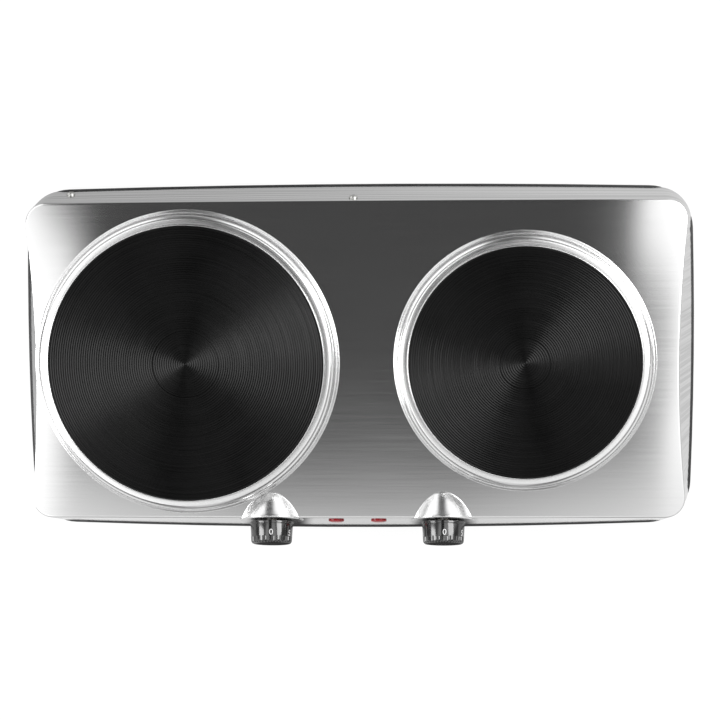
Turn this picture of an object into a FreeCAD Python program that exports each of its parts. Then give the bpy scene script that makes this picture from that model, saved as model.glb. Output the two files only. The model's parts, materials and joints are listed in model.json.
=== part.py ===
import FreeCAD, Part
import math
import os
import re

import Sketcher
from FreeCAD import Placement, Rotation, Vector

# Twin electric hot plate: a pressed steel housing on a black base plate, two cast-iron
# plates, each clamped into its hole by a stud and a bridge, and two thermostat knobs on
# the leaning front wall. Millimetres, +Z up, the table at Z = 0, the front towards -Y.

SIZES = {
    # Housing: its outline at the deck's fold and at the skirt's bottom edge
    "deck_height": 58.0,
    "skirt_bottom": 9.2,
    "sheet_wall": 0.8,
    "deck_half_x": 222.5,
    "deck_back_y": 108.1,
    "deck_front_y": 106.5,
    "deck_side_sag": -6.2,
    "deck_back_sag": 0.5,
    "deck_front_sag": 0.5,
    "skirt_half_x": 227.9,
    "skirt_back_y": 116.8,
    "skirt_front_y": 121.3,
    "skirt_side_sag": 2.5,
    "skirt_back_sag": 3.0,
    "skirt_front_sag": 4.6,
    "corner_radius": 22.0,
    "deck_corner_radius": 15.0,
    "edge_radius": 1.0,
    "flange_width": 12.0,
    # Where the plates' centre line lies, front to back
    "plate_line_y": 5.0,
    # Base plate and what fastens it
    "base_overhang": 1.0,
    "base_corner_radius": 30.0,
    "base_wall": 1.2,
    "base_rim": 4.0,
    "vent_length": 60.0,
    "vent_width": 4.0,
    "vent_pitch": 14.0,
    "base_screw_radius": 1.7,
    "base_screw_length": 6.0,
    "base_screw_head": 3.4,
    "base_screw_inset": 7.0,
    "base_screw_spread": 0.57,
    "foot_inset_x": 40.0,
    "foot_inset_y": 34.0,
    "foot_radius": 9.0,
    "foot_top_radius": 10.5,
    "foot_pocket": 4.0,
    "foot_pocket_radius": 4.6,
    "foot_screw_radius": 2.0,
    "foot_screw_head": 3.8,
    "foot_screw_length": 8.5,
    "screw_head_height": 2.0,
    "fit_gap": 0.05,
    "hole_gap": 0.3,
    # Cord grommet
    "grommet_x": -70.0,
    "grommet_inset": 26.0,
    "grommet_bore": 3.8,
    "grommet_neck": 6.0,
    "grommet_flange": 8.5,
    "grommet_lip": 1.6,
    # Burners
    "left_plate_dia": 185.0,
    "right_plate_dia": 155.0,
    "left_recess_dia": 45.0,
    "right_recess_dia": 34.0,
    "plate_spacing": 227.0,
    "plate_rise": 11.5,
    "plate_edge": 0.8,
    "recess_depth": 0.6,
    "plate_disc": 8.5,
    "plate_skirt": 19.0,
    "plate_skirt_wall": 6.0,
    "plate_step": 3.0,
    "plate_boss": 16.0,
    "plate_boss_drop": 8.5,
    "stud_radius": 4.0,
    "stud_grip": 14.0,
    "stud_tip": 30.0,
    "seat_rise": 1.0,
    "ring_sheet": 0.8,
    "seat_width": 2.0,
    "band_width": 0.9,
    "band_drop": 1.2,
    "ring_gap": 0.1,
    "ring_drop": 2.6,
    "ring_crest": 2.2,
    "ring_fall": 0.2,
    "ring_bulge": 0.6,
    "ring_shoulder": 4.9,
    "ring_foot": 7.2,
    "collar_gap": 0.4,
    "collar_width": 1.6,
    "collar_rise": 1.8,
    "collar_crest": 0.3,
    "coil_radius": 2.6,
    "cover_sheet": 0.8,
    "bridge_z": 40.0,
    "bridge_sheet": 2.5,
    "bridge_width": 24.0,
    "washer_radius": 9.0,
    "washer_sheet": 1.6,
    "nut_radius": 7.5,
    "nut_height": 6.0,
    "block_x": 16.0,
    "block_y": 28.0,
    "block_z": 10.0,
    "pin_radius": 1.5,
    "pin_spacing": 14.0,
    "pin_tail": 3.0,
    # Controls on the front wall, measured down the wall from the deck's fold
    "knob_x": 58.6,
    "knob_depth": 10.0,
    "pad_rise": 0.6,
    "dome_radius": 21.8,
    "dome_back_radius": 9.6,
    "dome_bulge": 1.45,
    "dome_length": 26.0,
    "knob_radius": 14.8,
    "knob_front_radius": 13.7,
    "knob_length": 15.1,
    "knob_gap": 1.0,
    "knob_flange": 1.6,
    "knob_groove": 0.5,
    "knob_wall": 1.9,
    "knob_round": 1.4,
    "grip_count": 36,
    "grip_radius": 0.4,
    "grip_length": 4.5,
    "hub_radius": 5.0,
    "hub_recess": 4.0,
    "spindle_radius": 3.0,
    "spindle_flat": 1.6,
    "spindle_reach": 9.0,
    "spindle_tail": 7.0,
    "spring_sheet": 0.6,
    "spring_width": 4.0,
    "spring_slot": 2.0,
    "thermostat_x": 26.0,
    "thermostat_y": 22.0,
    "thermostat_z": 18.0,
    "bush_radius": 4.2,
    "bush_reach": 1.2,
    "thermostat_screw_x": 7.6,
    "thermostat_screw_radius": 1.6,
    "thermostat_screw_head": 2.7,
    "thermostat_screw_length": 6.0,
    "tab_spacing": 12.0,
    "tab_width": 5.0,
    "tab_sheet": 0.8,
    "tab_length": 7.0,
    "tab_root": 3.0,
    "index_depth": 16.6,
    "index_radius": 0.9,
    "index_rise": 1.2,
    # Lamps
    "lamp_x": 14.5,
    "lamp_depth": 12.0,
    "lens_radius": 5.3,
    "lens_rim": 0.9,
    "lens_crown": 1.7,
    "tip_flat": 0.5,
    "lens_stem_radius": 4.2,
    "lens_stem": 9.0,
    "lens_wall": 1.1,
    "bulb_radius": 2.4,
    "bulb_length": 15.0,
    "clip_radius": 6.6,
    "clip_sheet": 1.0,
    # Wiring
    "mains_x": 6.0,
    "mains_inset": 34.0,
    "mains_length": 46.0,
    "mains_width": 20.0,
    "mains_height": 15.0,
    "mains_pole": 7.5,
    "wire_radius": 1.3,
    "wire_bend": 6.0,
    "wire_low": 17.0,
    "wire_high": 23.0,
    "earth_x": -0.8,
    "earth_depth": 8.5,
    "earth_screw_radius": 1.9,
    "earth_screw_head": 3.0,
    "earth_screw_length": 8.0,
    "earth_tab_radius": 4.6,
    "earth_tab_sheet": 1.0,
    # Screw low on the back wall
    "rear_screw_x": -196.0,
    "rear_screw_depth": 33.0,
}

doc = FreeCAD.newDocument("hot_plate")
sheet = doc.addObject("Spreadsheet::Sheet", "sizes")
for row, (alias, number) in enumerate(SIZES.items(), start=1):
    sheet.set(f"A{row}", alias)
    sheet.set(f"B{row}", str(number))
    sheet.setAlias(f"B{row}", alias)
doc.recompute()

NODES = []


def from_sheet(formula):
    """Return a formula in size names as one that reads them from the sheet."""
    return re.sub(r"\b(?!deg\b)([a-z][a-z0-9_]*)\b(?!\()", r"sizes.\1", str(formula))


def value(formula):
    """Return the number that a formula in size names comes to."""
    result = sheet.evalExpression(from_sheet(formula))
    return float(getattr(result, "Value", result))


def bind(obj, **formulas):
    """Bind an object's sizes to formulas."""
    for name, formula in formulas.items():
        obj.setExpression(name, from_sheet(formula))


def keep(obj, label):
    """Name a finished piece, so that it is written out."""
    obj.Label = label
    NODES.append(obj)
    return obj


# Places

FRONT_LEAN = "atan((skirt_front_y - deck_front_y) / (deck_height - skirt_bottom))"
BACK_LEAN = "atan((skirt_back_y - deck_back_y) / (deck_height - skirt_bottom))"


def place(obj, x="0", y="0", z="0"):
    """Bind where an object stands."""
    for axis, formula in zip("xyz", (x, y, z)):
        obj.setExpression(f"Placement.Base.{axis}", from_sheet(formula))
    return obj


def front_point(depth, out):
    """Return the Y and Z of a point on the front wall, depth down from the fold and out from it."""
    y = f"plate_line_y - deck_front_y - ({depth}) * sin({FRONT_LEAN}) - ({out}) * cos({FRONT_LEAN})"
    z = f"deck_height - ({depth}) * cos({FRONT_LEAN}) + ({out}) * sin({FRONT_LEAN})"
    return y, z


def place_on_front(obj, x, depth, out="0", turn="90 deg"):
    """Stand an object on the leaning front wall, its own +Z out of the wall (turn 90 degrees)."""
    obj.Placement = Placement(Vector(), Rotation(Vector(1, 0, 0), 45))
    obj.setExpression("Placement.Rotation.Angle", from_sheet(f"{turn} - {FRONT_LEAN}"))
    return place(obj, x, *front_point(depth, out))


# Simple solids

def cylinder(name, radius, height, low="0"):
    """Make an upright cylinder whose lower end is at a height."""
    obj = doc.addObject("Part::Cylinder", name)
    bind(obj, Radius=radius, Height=height)
    return place(obj, z=low)


def cone(name, low_radius, high_radius, height, low="0"):
    """Make an upright frustum whose lower end is at a height."""
    obj = doc.addObject("Part::Cone", name)
    bind(obj, Radius1=low_radius, Radius2=high_radius, Height=height)
    return place(obj, z=low)


def box(name, length, width, height, x="0", y="0", low="0"):
    """Make a box centred on a point of the plan, whose lower face is at a height."""
    obj = doc.addObject("Part::Box", name)
    bind(obj, Length=length, Width=width, Height=height)
    return place(obj, f"({x}) - ({length}) / 2", f"({y}) - ({width}) / 2", low)


def fuse(name, *solids):
    """Join solids into one."""
    obj = doc.addObject("Part::MultiFuse", name)
    obj.Shapes = list(solids)
    return obj


def cut(name, base, *tools):
    """Take solids away from one solid."""
    obj = doc.addObject("Part::Cut", name)
    obj.Base = base
    obj.Tool = tools[0] if len(tools) == 1 else fuse(f"{name}_tools", *tools)
    return obj


def group(name, *solids):
    """Hold separate solids in one piece's file."""
    obj = doc.addObject("Part::Compound", name)
    obj.Links = list(solids)
    return obj


def screw(name, head, shank, length):
    """Make a screw that points up, the underside of its head at its own origin."""
    head_solid = cone(f"{name}_head", f"({head}) * 0.8", head, "screw_head_height", "-screw_head_height")
    shank_solid = cylinder(f"{name}_shank", shank, length)
    return fuse(name, head_solid, shank_solid)


# Bodies made from sketches

def new_sketch(body, role, name, lift="0"):
    """Make a sketch on one of a body's own origin planes, lifted along its normal."""
    sketch = body.newObject("Sketcher::SketchObject", name)
    plane = next(item for item in body.Origin.OriginFeatures if item.Role == role)
    sketch.AttachmentSupport = [(plane, "")]
    sketch.MapMode = "FlatFace"
    sketch.setExpression("AttachmentOffset.Base.z", from_sheet(lift))
    return sketch


def arc_between(centre, start, end):
    """Return the anticlockwise arc about a centre from one point to another."""
    first = math.atan2(start.y - centre.y, start.x - centre.x)
    last = math.atan2(end.y - centre.y, end.x - centre.x)
    if last < first:
        last += 2 * math.pi
    return Part.ArcOfCircle(Part.Circle(centre, Vector(0, 0, 1), (start - centre).Length), first, last)


def arc_side(start, end, sag):
    """Return the arc of a side whose middle stands out from its chord by a sag, right of its way."""
    chord = end - start
    outward = Vector(chord.y, -chord.x, 0).normalize()
    radius = chord.Length ** 2 / (8 * abs(sag)) + abs(sag) / 2
    centre = (start + end) * 0.5 + outward * (sag - math.copysign(radius, sag))
    return arc_between(centre, start, end) if sag > 0 else arc_between(centre, end, start)


def draw_outline(sketch, corners, sags=None):
    """Draw a closed outline, anticlockwise through corner formulas.

    A side that has a sag is an arc: its middle stands out by the sag, or in where it is negative.
    """
    sags = sags or {}
    count = len(corners)
    points = [Vector(value(x), value(y), 0) for x, y in corners]
    sides = []
    for index, start in enumerate(points):
        end = points[(index + 1) % count]
        if index in sags:
            sag = value(sags[index])
            geometry = sketch.addGeometry(arc_side(start, end, sag), False)
            sides.append((geometry, 1, 2) if sag > 0 else (geometry, 2, 1))
        else:
            geometry = sketch.addGeometry(Part.LineSegment(start, end), False)
            sides.append((geometry, 1, 2))
    for index, (geometry, first, last) in enumerate(sides):
        after, after_first, _ = sides[(index + 1) % count]
        sketch.addConstraint(Sketcher.Constraint("Coincident", geometry, last, after, after_first))
    for index, (geometry, first, _) in enumerate(sides):
        for axis, formula, number in zip("XY", corners[index], points[index]):
            constraint = Sketcher.Constraint(f"Distance{axis}", -1, 1, geometry, first, number)
            name_constraint(sketch, constraint, f"{axis.lower()}_{index}", formula)
        if index in sags:
            (x1, y1), (x2, y2) = corners[index], corners[(index + 1) % count]
            chord = f"pow(({x2}) - ({x1}); 2) + pow(({y2}) - ({y1}); 2)"
            radius = f"({chord}) / (8 * abs({sags[index]})) + abs({sags[index]}) / 2"
            constraint = Sketcher.Constraint("Radius", geometry, sketch.Geometry[geometry].Radius)
            name_constraint(sketch, constraint, f"radius_{index}", radius)


def name_constraint(sketch, constraint, name, formula):
    """Add a constraint and bind its size to a formula."""
    number = sketch.addConstraint(constraint)
    sketch.renameConstraint(number, name)
    sketch.setExpression(f"Constraints.{name}", from_sheet(formula))


def revolved(label, corners, sags=None):
    """Make a body by turning an outline of radius and height about the upright axis."""
    body = doc.addObject("PartDesign::Body", label)
    sketch = new_sketch(body, "XZ_Plane", f"{label}_section")
    draw_outline(sketch, corners, sags)
    turn = body.newObject("PartDesign::Revolution", f"{label}_turn")
    turn.Profile = sketch
    turn.ReferenceAxis = (sketch, ["V_Axis"])
    turn.Angle = 360
    body.Tip = turn
    return body


def tube(label, inner, outer, low, high):
    """Make a plain ring."""
    return revolved(label, [(inner, low), (outer, low), (outer, high), (inner, high)])


# Housing outline

def rim_sides(level, inset):
    """Return the four sides of the housing's outline at a level, moved in by an inset.

    Each side is an arc, given by its centre and its radius, which is negative where the side is
    hollow. They run anticlockwise from the front.
    """
    climb = f"((({level}) - skirt_bottom) / (deck_height - skirt_bottom))"

    def between(name):
        return f"(skirt_{name} + (deck_{name} - skirt_{name}) * {climb})"

    def bow(chord, sag):
        return f"(pow({chord}; 2) / (8 * {sag}) + {sag} / 2)"

    half = between("half_x")
    back_corner = f"({between('back_y')} - {between('back_sag')})"
    front_corner = f"({between('front_y')} - {between('front_sag')})"
    side = f"({half} + {between('side_sag')} - ({inset}))"
    middle = f"plate_line_y + ({back_corner} - {front_corner}) / 2"
    side_bow = bow(f"{back_corner} + {front_corner}", between("side_sag"))
    front_bow = bow(f"2 * {half}", between("front_sag"))
    back_bow = bow(f"2 * {half}", between("back_sag"))
    return [
        ("0", f"plate_line_y - {between('front_y')} + ({inset}) + {front_bow}", front_bow),
        (f"{side} - {side_bow}", middle, side_bow),
        ("0", f"plate_line_y + {between('back_y')} - ({inset}) - {back_bow}", back_bow),
        (f"{side_bow} - {side}", middle, side_bow),
    ]


def place_on_back(obj, x, depth, out="0"):
    """Stand an object on the leaning, bowed back wall, its own +Z into the housing."""
    obj.Placement = Placement(Vector(), Rotation(Vector(1, 0, 0), 45))
    obj.setExpression("Placement.Rotation.Angle", from_sheet(f"90 deg + {BACK_LEAN}"))
    return place(obj, x, *back_point(x, depth, out))


def back_point(x, depth, out="0"):
    """Return the Y and Z of a point on the back wall, depth down from the fold and out from it."""
    level = f"(deck_height - ({depth}) * cos({BACK_LEAN}))"
    _, centre, bow = rim_sides(level, "0")[2]
    y = f"({centre} + sqrt(pow({bow}; 2) - pow({x}; 2)) + ({out}) * cos({BACK_LEAN}))"
    return y, f"({level} + ({out}) * sin({BACK_LEAN}))"


def corner_centre(first, second, radius):
    """Return the centre of the round between two sides, where they meet nearest the middle."""
    (centre, bow), (other, other_bow) = first, second
    reach = abs(bow - radius)
    other_reach = abs(other_bow - radius)
    apart = other - centre
    along = (apart.Length ** 2 + reach ** 2 - other_reach ** 2) / (2 * apart.Length)
    across = math.sqrt(reach ** 2 - along ** 2)
    way = Vector(apart).normalize()
    square = Vector(-way.y, way.x, 0)
    meets = [centre + way * along + square * across, centre + way * along - square * across]
    return min(meets, key=lambda point: point.Length)


def draw_rim(sketch, level, inset, corner):
    """Draw the housing's outline: four bowed sides and the rounds that join them."""
    sides = rim_sides(level, inset)
    circles = [(Vector(value(x), value(y), 0), value(bow)) for x, y, bow in sides]
    radius = value(corner)
    rounds = [corner_centre(circles[index], circles[(index + 1) % 4], radius) for index in range(4)]

    def touch(index, centre):
        middle, bow = circles[index % 4]
        return middle + (centre - middle).normalize() * abs(bow)

    pieces = []
    for index, (middle, bow) in enumerate(circles):
        start = touch(index, rounds[index - 1])
        end = touch(index, rounds[index])
        arc = arc_between(middle, start, end) if bow > 0 else arc_between(middle, end, start)
        geometry = sketch.addGeometry(arc, False)
        pieces.append((geometry, 1, 2) if bow > 0 else (geometry, 2, 1))
        turn = arc_between(rounds[index], end, touch(index + 1, rounds[index]))
        pieces.append((sketch.addGeometry(turn, False), 1, 2))
    for index, (geometry, _, last) in enumerate(pieces):
        after, after_first, _ = pieces[(index + 1) % len(pieces)]
        sketch.addConstraint(Sketcher.Constraint("Tangent", geometry, last, after, after_first))
    for index, (x, y, bow) in enumerate(sides):
        geometry = pieces[2 * index][0]
        middle, number = circles[index]
        for axis, formula, place_number in zip("XY", (x, y), middle):
            constraint = Sketcher.Constraint(f"Distance{axis}", -1, 1, geometry, 3, place_number)
            name_constraint(sketch, constraint, f"{axis.lower()}_{index}", formula)
        name_constraint(sketch, Sketcher.Constraint("Radius", geometry, abs(number)), f"bow_{index}", f"abs({bow})")
        constraint = Sketcher.Constraint("Radius", pieces[2 * index + 1][0], radius)
        name_constraint(sketch, constraint, f"corner_{index}", corner)


def housing_block(label, low, high, inset, edge):
    """Make the housing's solid form between two levels, its upper edge rounded in three strips."""
    body = doc.addObject("PartDesign::Body", label)
    levels = [(low, inset, f"corner_radius - {inset}")]
    for turn in (0, 30, 60, 90):
        inward = f"({edge}) * (1 - cos({turn} deg))"
        drop = f"({edge}) * (1 - sin({turn} deg))"
        levels.append((f"{high} - {drop}", f"{inset} + {inward}", f"deck_corner_radius - {inset} - {inward}"))
    sections = []
    for level, level_inset, level_corner in levels:
        sketch = new_sketch(body, "XY_Plane", f"{label}_outline", level)
        draw_rim(sketch, level, level_inset, level_corner)
        sections.append(sketch)
    loft = body.newObject("PartDesign::AdditiveLoft", f"{label}_loft")
    loft.Profile = sections[0]
    loft.Sections = sections[1:]
    loft.Ruled = True
    body.Tip = loft
    return body


def base_block(label, low, high, inset, corner):
    """Make the base plate's outline as an upright block."""
    body = doc.addObject("PartDesign::Body", label)
    sketch = new_sketch(body, "XY_Plane", f"{label}_outline", low)
    draw_rim(sketch, "skirt_bottom", inset, corner)
    pad = body.newObject("PartDesign::Pad", f"{label}_pad")
    pad.Profile = sketch
    bind(pad, Length=f"({high}) - ({low})")
    body.Tip = pad
    return body


# Burners: left and right

BURNERS = {
    "left": ("-plate_spacing / 2", "left_plate_dia / 2", "left_recess_dia / 2", 1),
    "right": ("plate_spacing / 2", "right_plate_dia / 2", "right_recess_dia / 2", -1),
}
PLATE_TOP = "(deck_height + plate_rise)"
SEAT = "(deck_height + seat_rise)"
SHOULDER = f"({SEAT} + ring_sheet)"
PLATE_CEILING = f"({PLATE_TOP} - plate_disc)"
PLATE_BOTTOM = f"({PLATE_TOP} - plate_skirt)"
COIL_LEVEL = f"({PLATE_CEILING} - coil_radius - 1)"


def collar(side):
    """Make the raised collar that the housing has round one plate, with the seat inside it."""
    x, plate, _, _ = BURNERS[side]
    bead_in = f"{plate} + ring_foot + collar_gap"
    bead_out = f"{bead_in} + collar_width"
    under = f"{SEAT} - sheet_wall"
    deck_under = "deck_height - sheet_wall"
    corners = [
        (f"{plate} - seat_width", under),
        (f"{bead_out} - sheet_wall", under),
        (f"{bead_out} - sheet_wall", deck_under),
        (bead_out, deck_under),
        (bead_out, "deck_height"),
        (f"{bead_out} - collar_width / 4", "deck_height + collar_rise"),
        (f"{bead_in} + collar_width / 4", "deck_height + collar_rise"),
        (bead_in, SEAT),
        (f"{plate} - seat_width", SEAT),
    ]
    body = revolved(f"{side}_collar", corners, {5: "collar_crest"})
    return place(body, x, "plate_line_y")


def deck_hole(side):
    """Make the round that the deck loses inside one collar."""
    x, plate, _, _ = BURNERS[side]
    radius = f"{plate} + ring_foot + collar_gap + collar_width - sheet_wall / 2"
    hole = cylinder(f"{side}_deck_hole", radius, "edge_radius + sheet_wall", "deck_height - edge_radius")
    return place(hole, x, "plate_line_y", "deck_height - edge_radius")


def pin_place(side, sign):
    """Return where one of a burner's two terminal pins stands."""
    x, plate, _, way = BURNERS[side]
    coil = f"plate_boss + ({plate} - plate_step - plate_skirt_wall - plate_boss) * 2 / 3"
    return f"{x} + {way} * ({coil})", f"plate_line_y + {sign} * pin_spacing / 2"


def terminal_pins(side, radius, low, high):
    """Make a burner's two terminal pins, or the holes they pass through."""
    pins = []
    for sign in (-1, 1):
        pin = cylinder(f"{side}_pin", radius, f"({high}) - ({low})", low)
        pins.append(place(pin, *pin_place(side, sign), low))
    return pins


def heating_rings(side, radius):
    """Make the two rings that a burner's heating coil is laid in."""
    x, plate, _, _ = BURNERS[side]
    rings = []
    for share in (1, 2):
        ring = doc.addObject("Part::Torus", f"{side}_ring")
        centre = f"plate_boss + ({plate} - plate_step - plate_skirt_wall - plate_boss) * {share} / 3"
        bind(ring, Radius1=centre, Radius2=radius)
        rings.append(place(ring, x, "plate_line_y", COIL_LEVEL))
    return rings


def build_burner(side):
    """Make one burner: plate, rings, heating parts and what clamps it to the deck."""
    x, plate, recess, way = BURNERS[side]
    y = "plate_line_y"
    hole = "stud_radius + fit_gap"
    boss_low = f"{PLATE_CEILING} - plate_boss_drop"
    stud_top = f"({boss_low} + stud_grip)"
    skirt_out = f"{plate} - plate_step"
    skirt_in = f"{skirt_out} - plate_skirt_wall"
    iron = revolved(f"{side}_iron", [
        (hole, boss_low),
        ("plate_boss", boss_low),
        ("plate_boss", PLATE_CEILING),
        (skirt_in, PLATE_CEILING),
        (skirt_in, PLATE_BOTTOM),
        (skirt_out, PLATE_BOTTOM),
        (skirt_out, SHOULDER),
        (plate, SHOULDER),
        (plate, f"{PLATE_TOP} - plate_edge"),
        (f"{plate} - plate_edge", PLATE_TOP),
        (f"{recess} + recess_depth", PLATE_TOP),
        (recess, f"{PLATE_TOP} - recess_depth"),
        ("0", f"{PLATE_TOP} - recess_depth"),
        ("0", f"{stud_top} + fit_gap"),
        (hole, f"{stud_top} + fit_gap"),
    ], {8: "plate_edge / 5"})
    keep(place(iron, x, y), f"{side}_plate")

    band_in = f"{plate} + fit_gap"
    band_out = f"{plate} + band_width"
    band_top = f"{PLATE_TOP} - band_drop - band_width / 4"
    band = revolved(f"{side}_band", [
        (band_in, SHOULDER),
        (band_out, SHOULDER),
        (band_out, band_top),
        (band_in, band_top),
    ], {2: "band_width / 4"})
    keep(place(band, x, y), f"{side}_trim_band")

    wall_in = f"{band_out} + ring_gap"
    wall_out = f"{wall_in} + ring_sheet"
    crest = f"{PLATE_TOP} - ring_drop"
    crest_out = f"{wall_in} + ring_crest"
    crest_end = f"{crest} - ring_fall"
    foot = f"{plate} + ring_foot"
    ring = revolved(f"{side}_ring_sheet", [
        (f"{plate} - seat_width", SEAT),
        (wall_out, SEAT),
        (wall_out, f"{crest} - ring_sheet"),
        (crest_out, f"{crest_end} - ring_sheet"),
        (f"{foot} - ring_sheet", f"{SEAT} + ring_shoulder - ring_sheet / 4"),
        (f"{foot} - ring_sheet", SEAT),
        (foot, SEAT),
        (foot, f"{SEAT} + ring_shoulder"),
        (crest_out, crest_end),
        (wall_in, crest),
        (wall_in, SHOULDER),
        (f"{plate} - seat_width", SHOULDER),
    ], {3: "-ring_bulge", 7: "ring_bulge"})
    keep(place(ring, x, y), f"{side}_spill_ring")

    keep(group(f"{side}_coil", *heating_rings(side, "coil_radius")), f"{side}_heating_coil")
    low = f"{PLATE_BOTTOM} + fit_gap"
    fill = tube(f"{side}_fill", "plate_boss + fit_gap", f"{skirt_in} - fit_gap", low, PLATE_CEILING)
    place(fill, x, y)
    coil_ways = heating_rings(side, "coil_radius + fit_gap")
    pin_ways = terminal_pins(side, "pin_radius + fit_gap", PLATE_BOTTOM, COIL_LEVEL)
    keep(cut(f"{side}_insulation_cut", fill, *coil_ways, *pin_ways), f"{side}_insulation")

    cover_low = f"{PLATE_BOTTOM} - cover_sheet"
    disc = tube(f"{side}_disc", "stud_radius + hole_gap", skirt_out, cover_low, PLATE_BOTTOM)
    place(disc, x, y)
    ways = terminal_pins(side, "pin_radius + hole_gap", f"{cover_low} - 1", f"{PLATE_BOTTOM} + 1")
    keep(cut(f"{side}_cover_cut", disc, *ways), f"{side}_bottom_cover")

    stud = revolved(f"{side}_stud", [
        ("0", "stud_tip"),
        ("stud_radius * 0.8", "stud_tip"),
        ("stud_radius", "stud_tip + stud_radius * 0.2"),
        ("stud_radius", stud_top),
        ("0", stud_top),
    ])
    keep(place(stud, x, y), f"{side}_centre_stud")

    reach = f"({plate} + ring_foot / 2)"
    leg_top = f"{SEAT} - sheet_wall"
    bar = box(f"{side}_bar", "bridge_width", f"2 * {reach}", "bridge_sheet", x, y, "bridge_z")
    legs = []
    for sign in (-1, 1):
        leg_y = f"{y} + {sign} * ({reach} - bridge_sheet / 2)"
        leg_height = f"{leg_top} - bridge_z"
        legs.append(box(f"{side}_leg", "bridge_width", "bridge_sheet", leg_height, x, leg_y, "bridge_z"))
    bend = fuse(f"{side}_bend", bar, *legs)
    bridge_hole = cylinder(f"{side}_bridge_hole", "stud_radius + hole_gap", "3 * bridge_sheet")
    place(bridge_hole, x, y, "bridge_z - bridge_sheet")
    keep(cut(f"{side}_bridge_cut", bend, bridge_hole), f"{side}_clamp_bridge")

    washer_low = "bridge_z - washer_sheet"
    block = box(f"{side}_block", "block_x", "block_y", "block_z", low=f"{cover_low} - block_z")
    pin_x = pin_place(side, 1)[0]
    place(block, f"{pin_x} - block_x / 2", f"{y} - block_y / 2", f"{cover_low} - block_z")
    pin_low = f"{cover_low} - block_z - pin_tail"
    pin_high = f"{COIL_LEVEL} - coil_radius - fit_gap"
    ways = terminal_pins(side, "pin_radius + fit_gap", pin_low, f"{cover_low} + 1")
    keep(cut(f"{side}_block_cut", block, *ways), f"{side}_terminal_block")
    keep(group(f"{side}_pins", *terminal_pins(side, "pin_radius", pin_low, pin_high)), f"{side}_terminal_pins")

    washer = tube(f"{side}_washer", "stud_radius + hole_gap", "washer_radius", washer_low, "bridge_z")
    place(washer, x, y)
    prism = doc.addObject("Part::Prism", f"{side}_prism")
    prism.Polygon = 6
    bind(prism, Circumradius="nut_radius", Height="nut_height")
    place(prism, x, y, f"{washer_low} - nut_height")
    thread = place(cylinder(f"{side}_thread", hole, "nut_height + 2"), x, y, f"{washer_low} - nut_height - 1")
    return washer, cut(f"{side}_nut", prism, thread)


# Controls and lamps on the front wall

CONTROLS = {"left": "-knob_x", "right": "knob_x"}
LAMPS = {"left": "-lamp_x", "right": "lamp_x"}
KNOB_BACK = "(pad_rise + knob_gap)"
KNOB_FRONT = f"({KNOB_BACK} + knob_length)"


def dome(side, inset, front):
    """Make the bulging round that a knob's pad and dome are pressed to, moved in by an inset."""
    form = revolved(f"{side}_dome", [
        ("0", "-dome_length"),
        (f"dome_back_radius - ({inset})", "-dome_length"),
        (f"dome_radius - ({inset})", front),
        ("0", front),
    ], {1: "dome_bulge"})
    return place_on_front(form, CONTROLS[side], "knob_depth")


def front_hole(name, x, depth, radius):
    """Make a round hole through the front wall."""
    hole = cylinder(name, radius, "dome_length")
    return place_on_front(hole, x, depth, "-dome_length / 2")


def spindle_solid(name, radius, low, high, flat_low):
    """Make a round spindle with a flat along its outer end."""
    round_bar = cylinder(f"{name}_bar", radius, f"({high}) - ({low})", low)
    wide = f"4 * ({radius})"
    side_cut = box(f"{name}_flat", wide, wide, f"({high}) - ({flat_low}) + 1", low=flat_low)
    place(side_cut, f"-({wide}) / 2", f"-({wide}) - spindle_flat - (({radius}) - spindle_radius)", flat_low)
    return cut(name, round_bar, side_cut)


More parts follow.
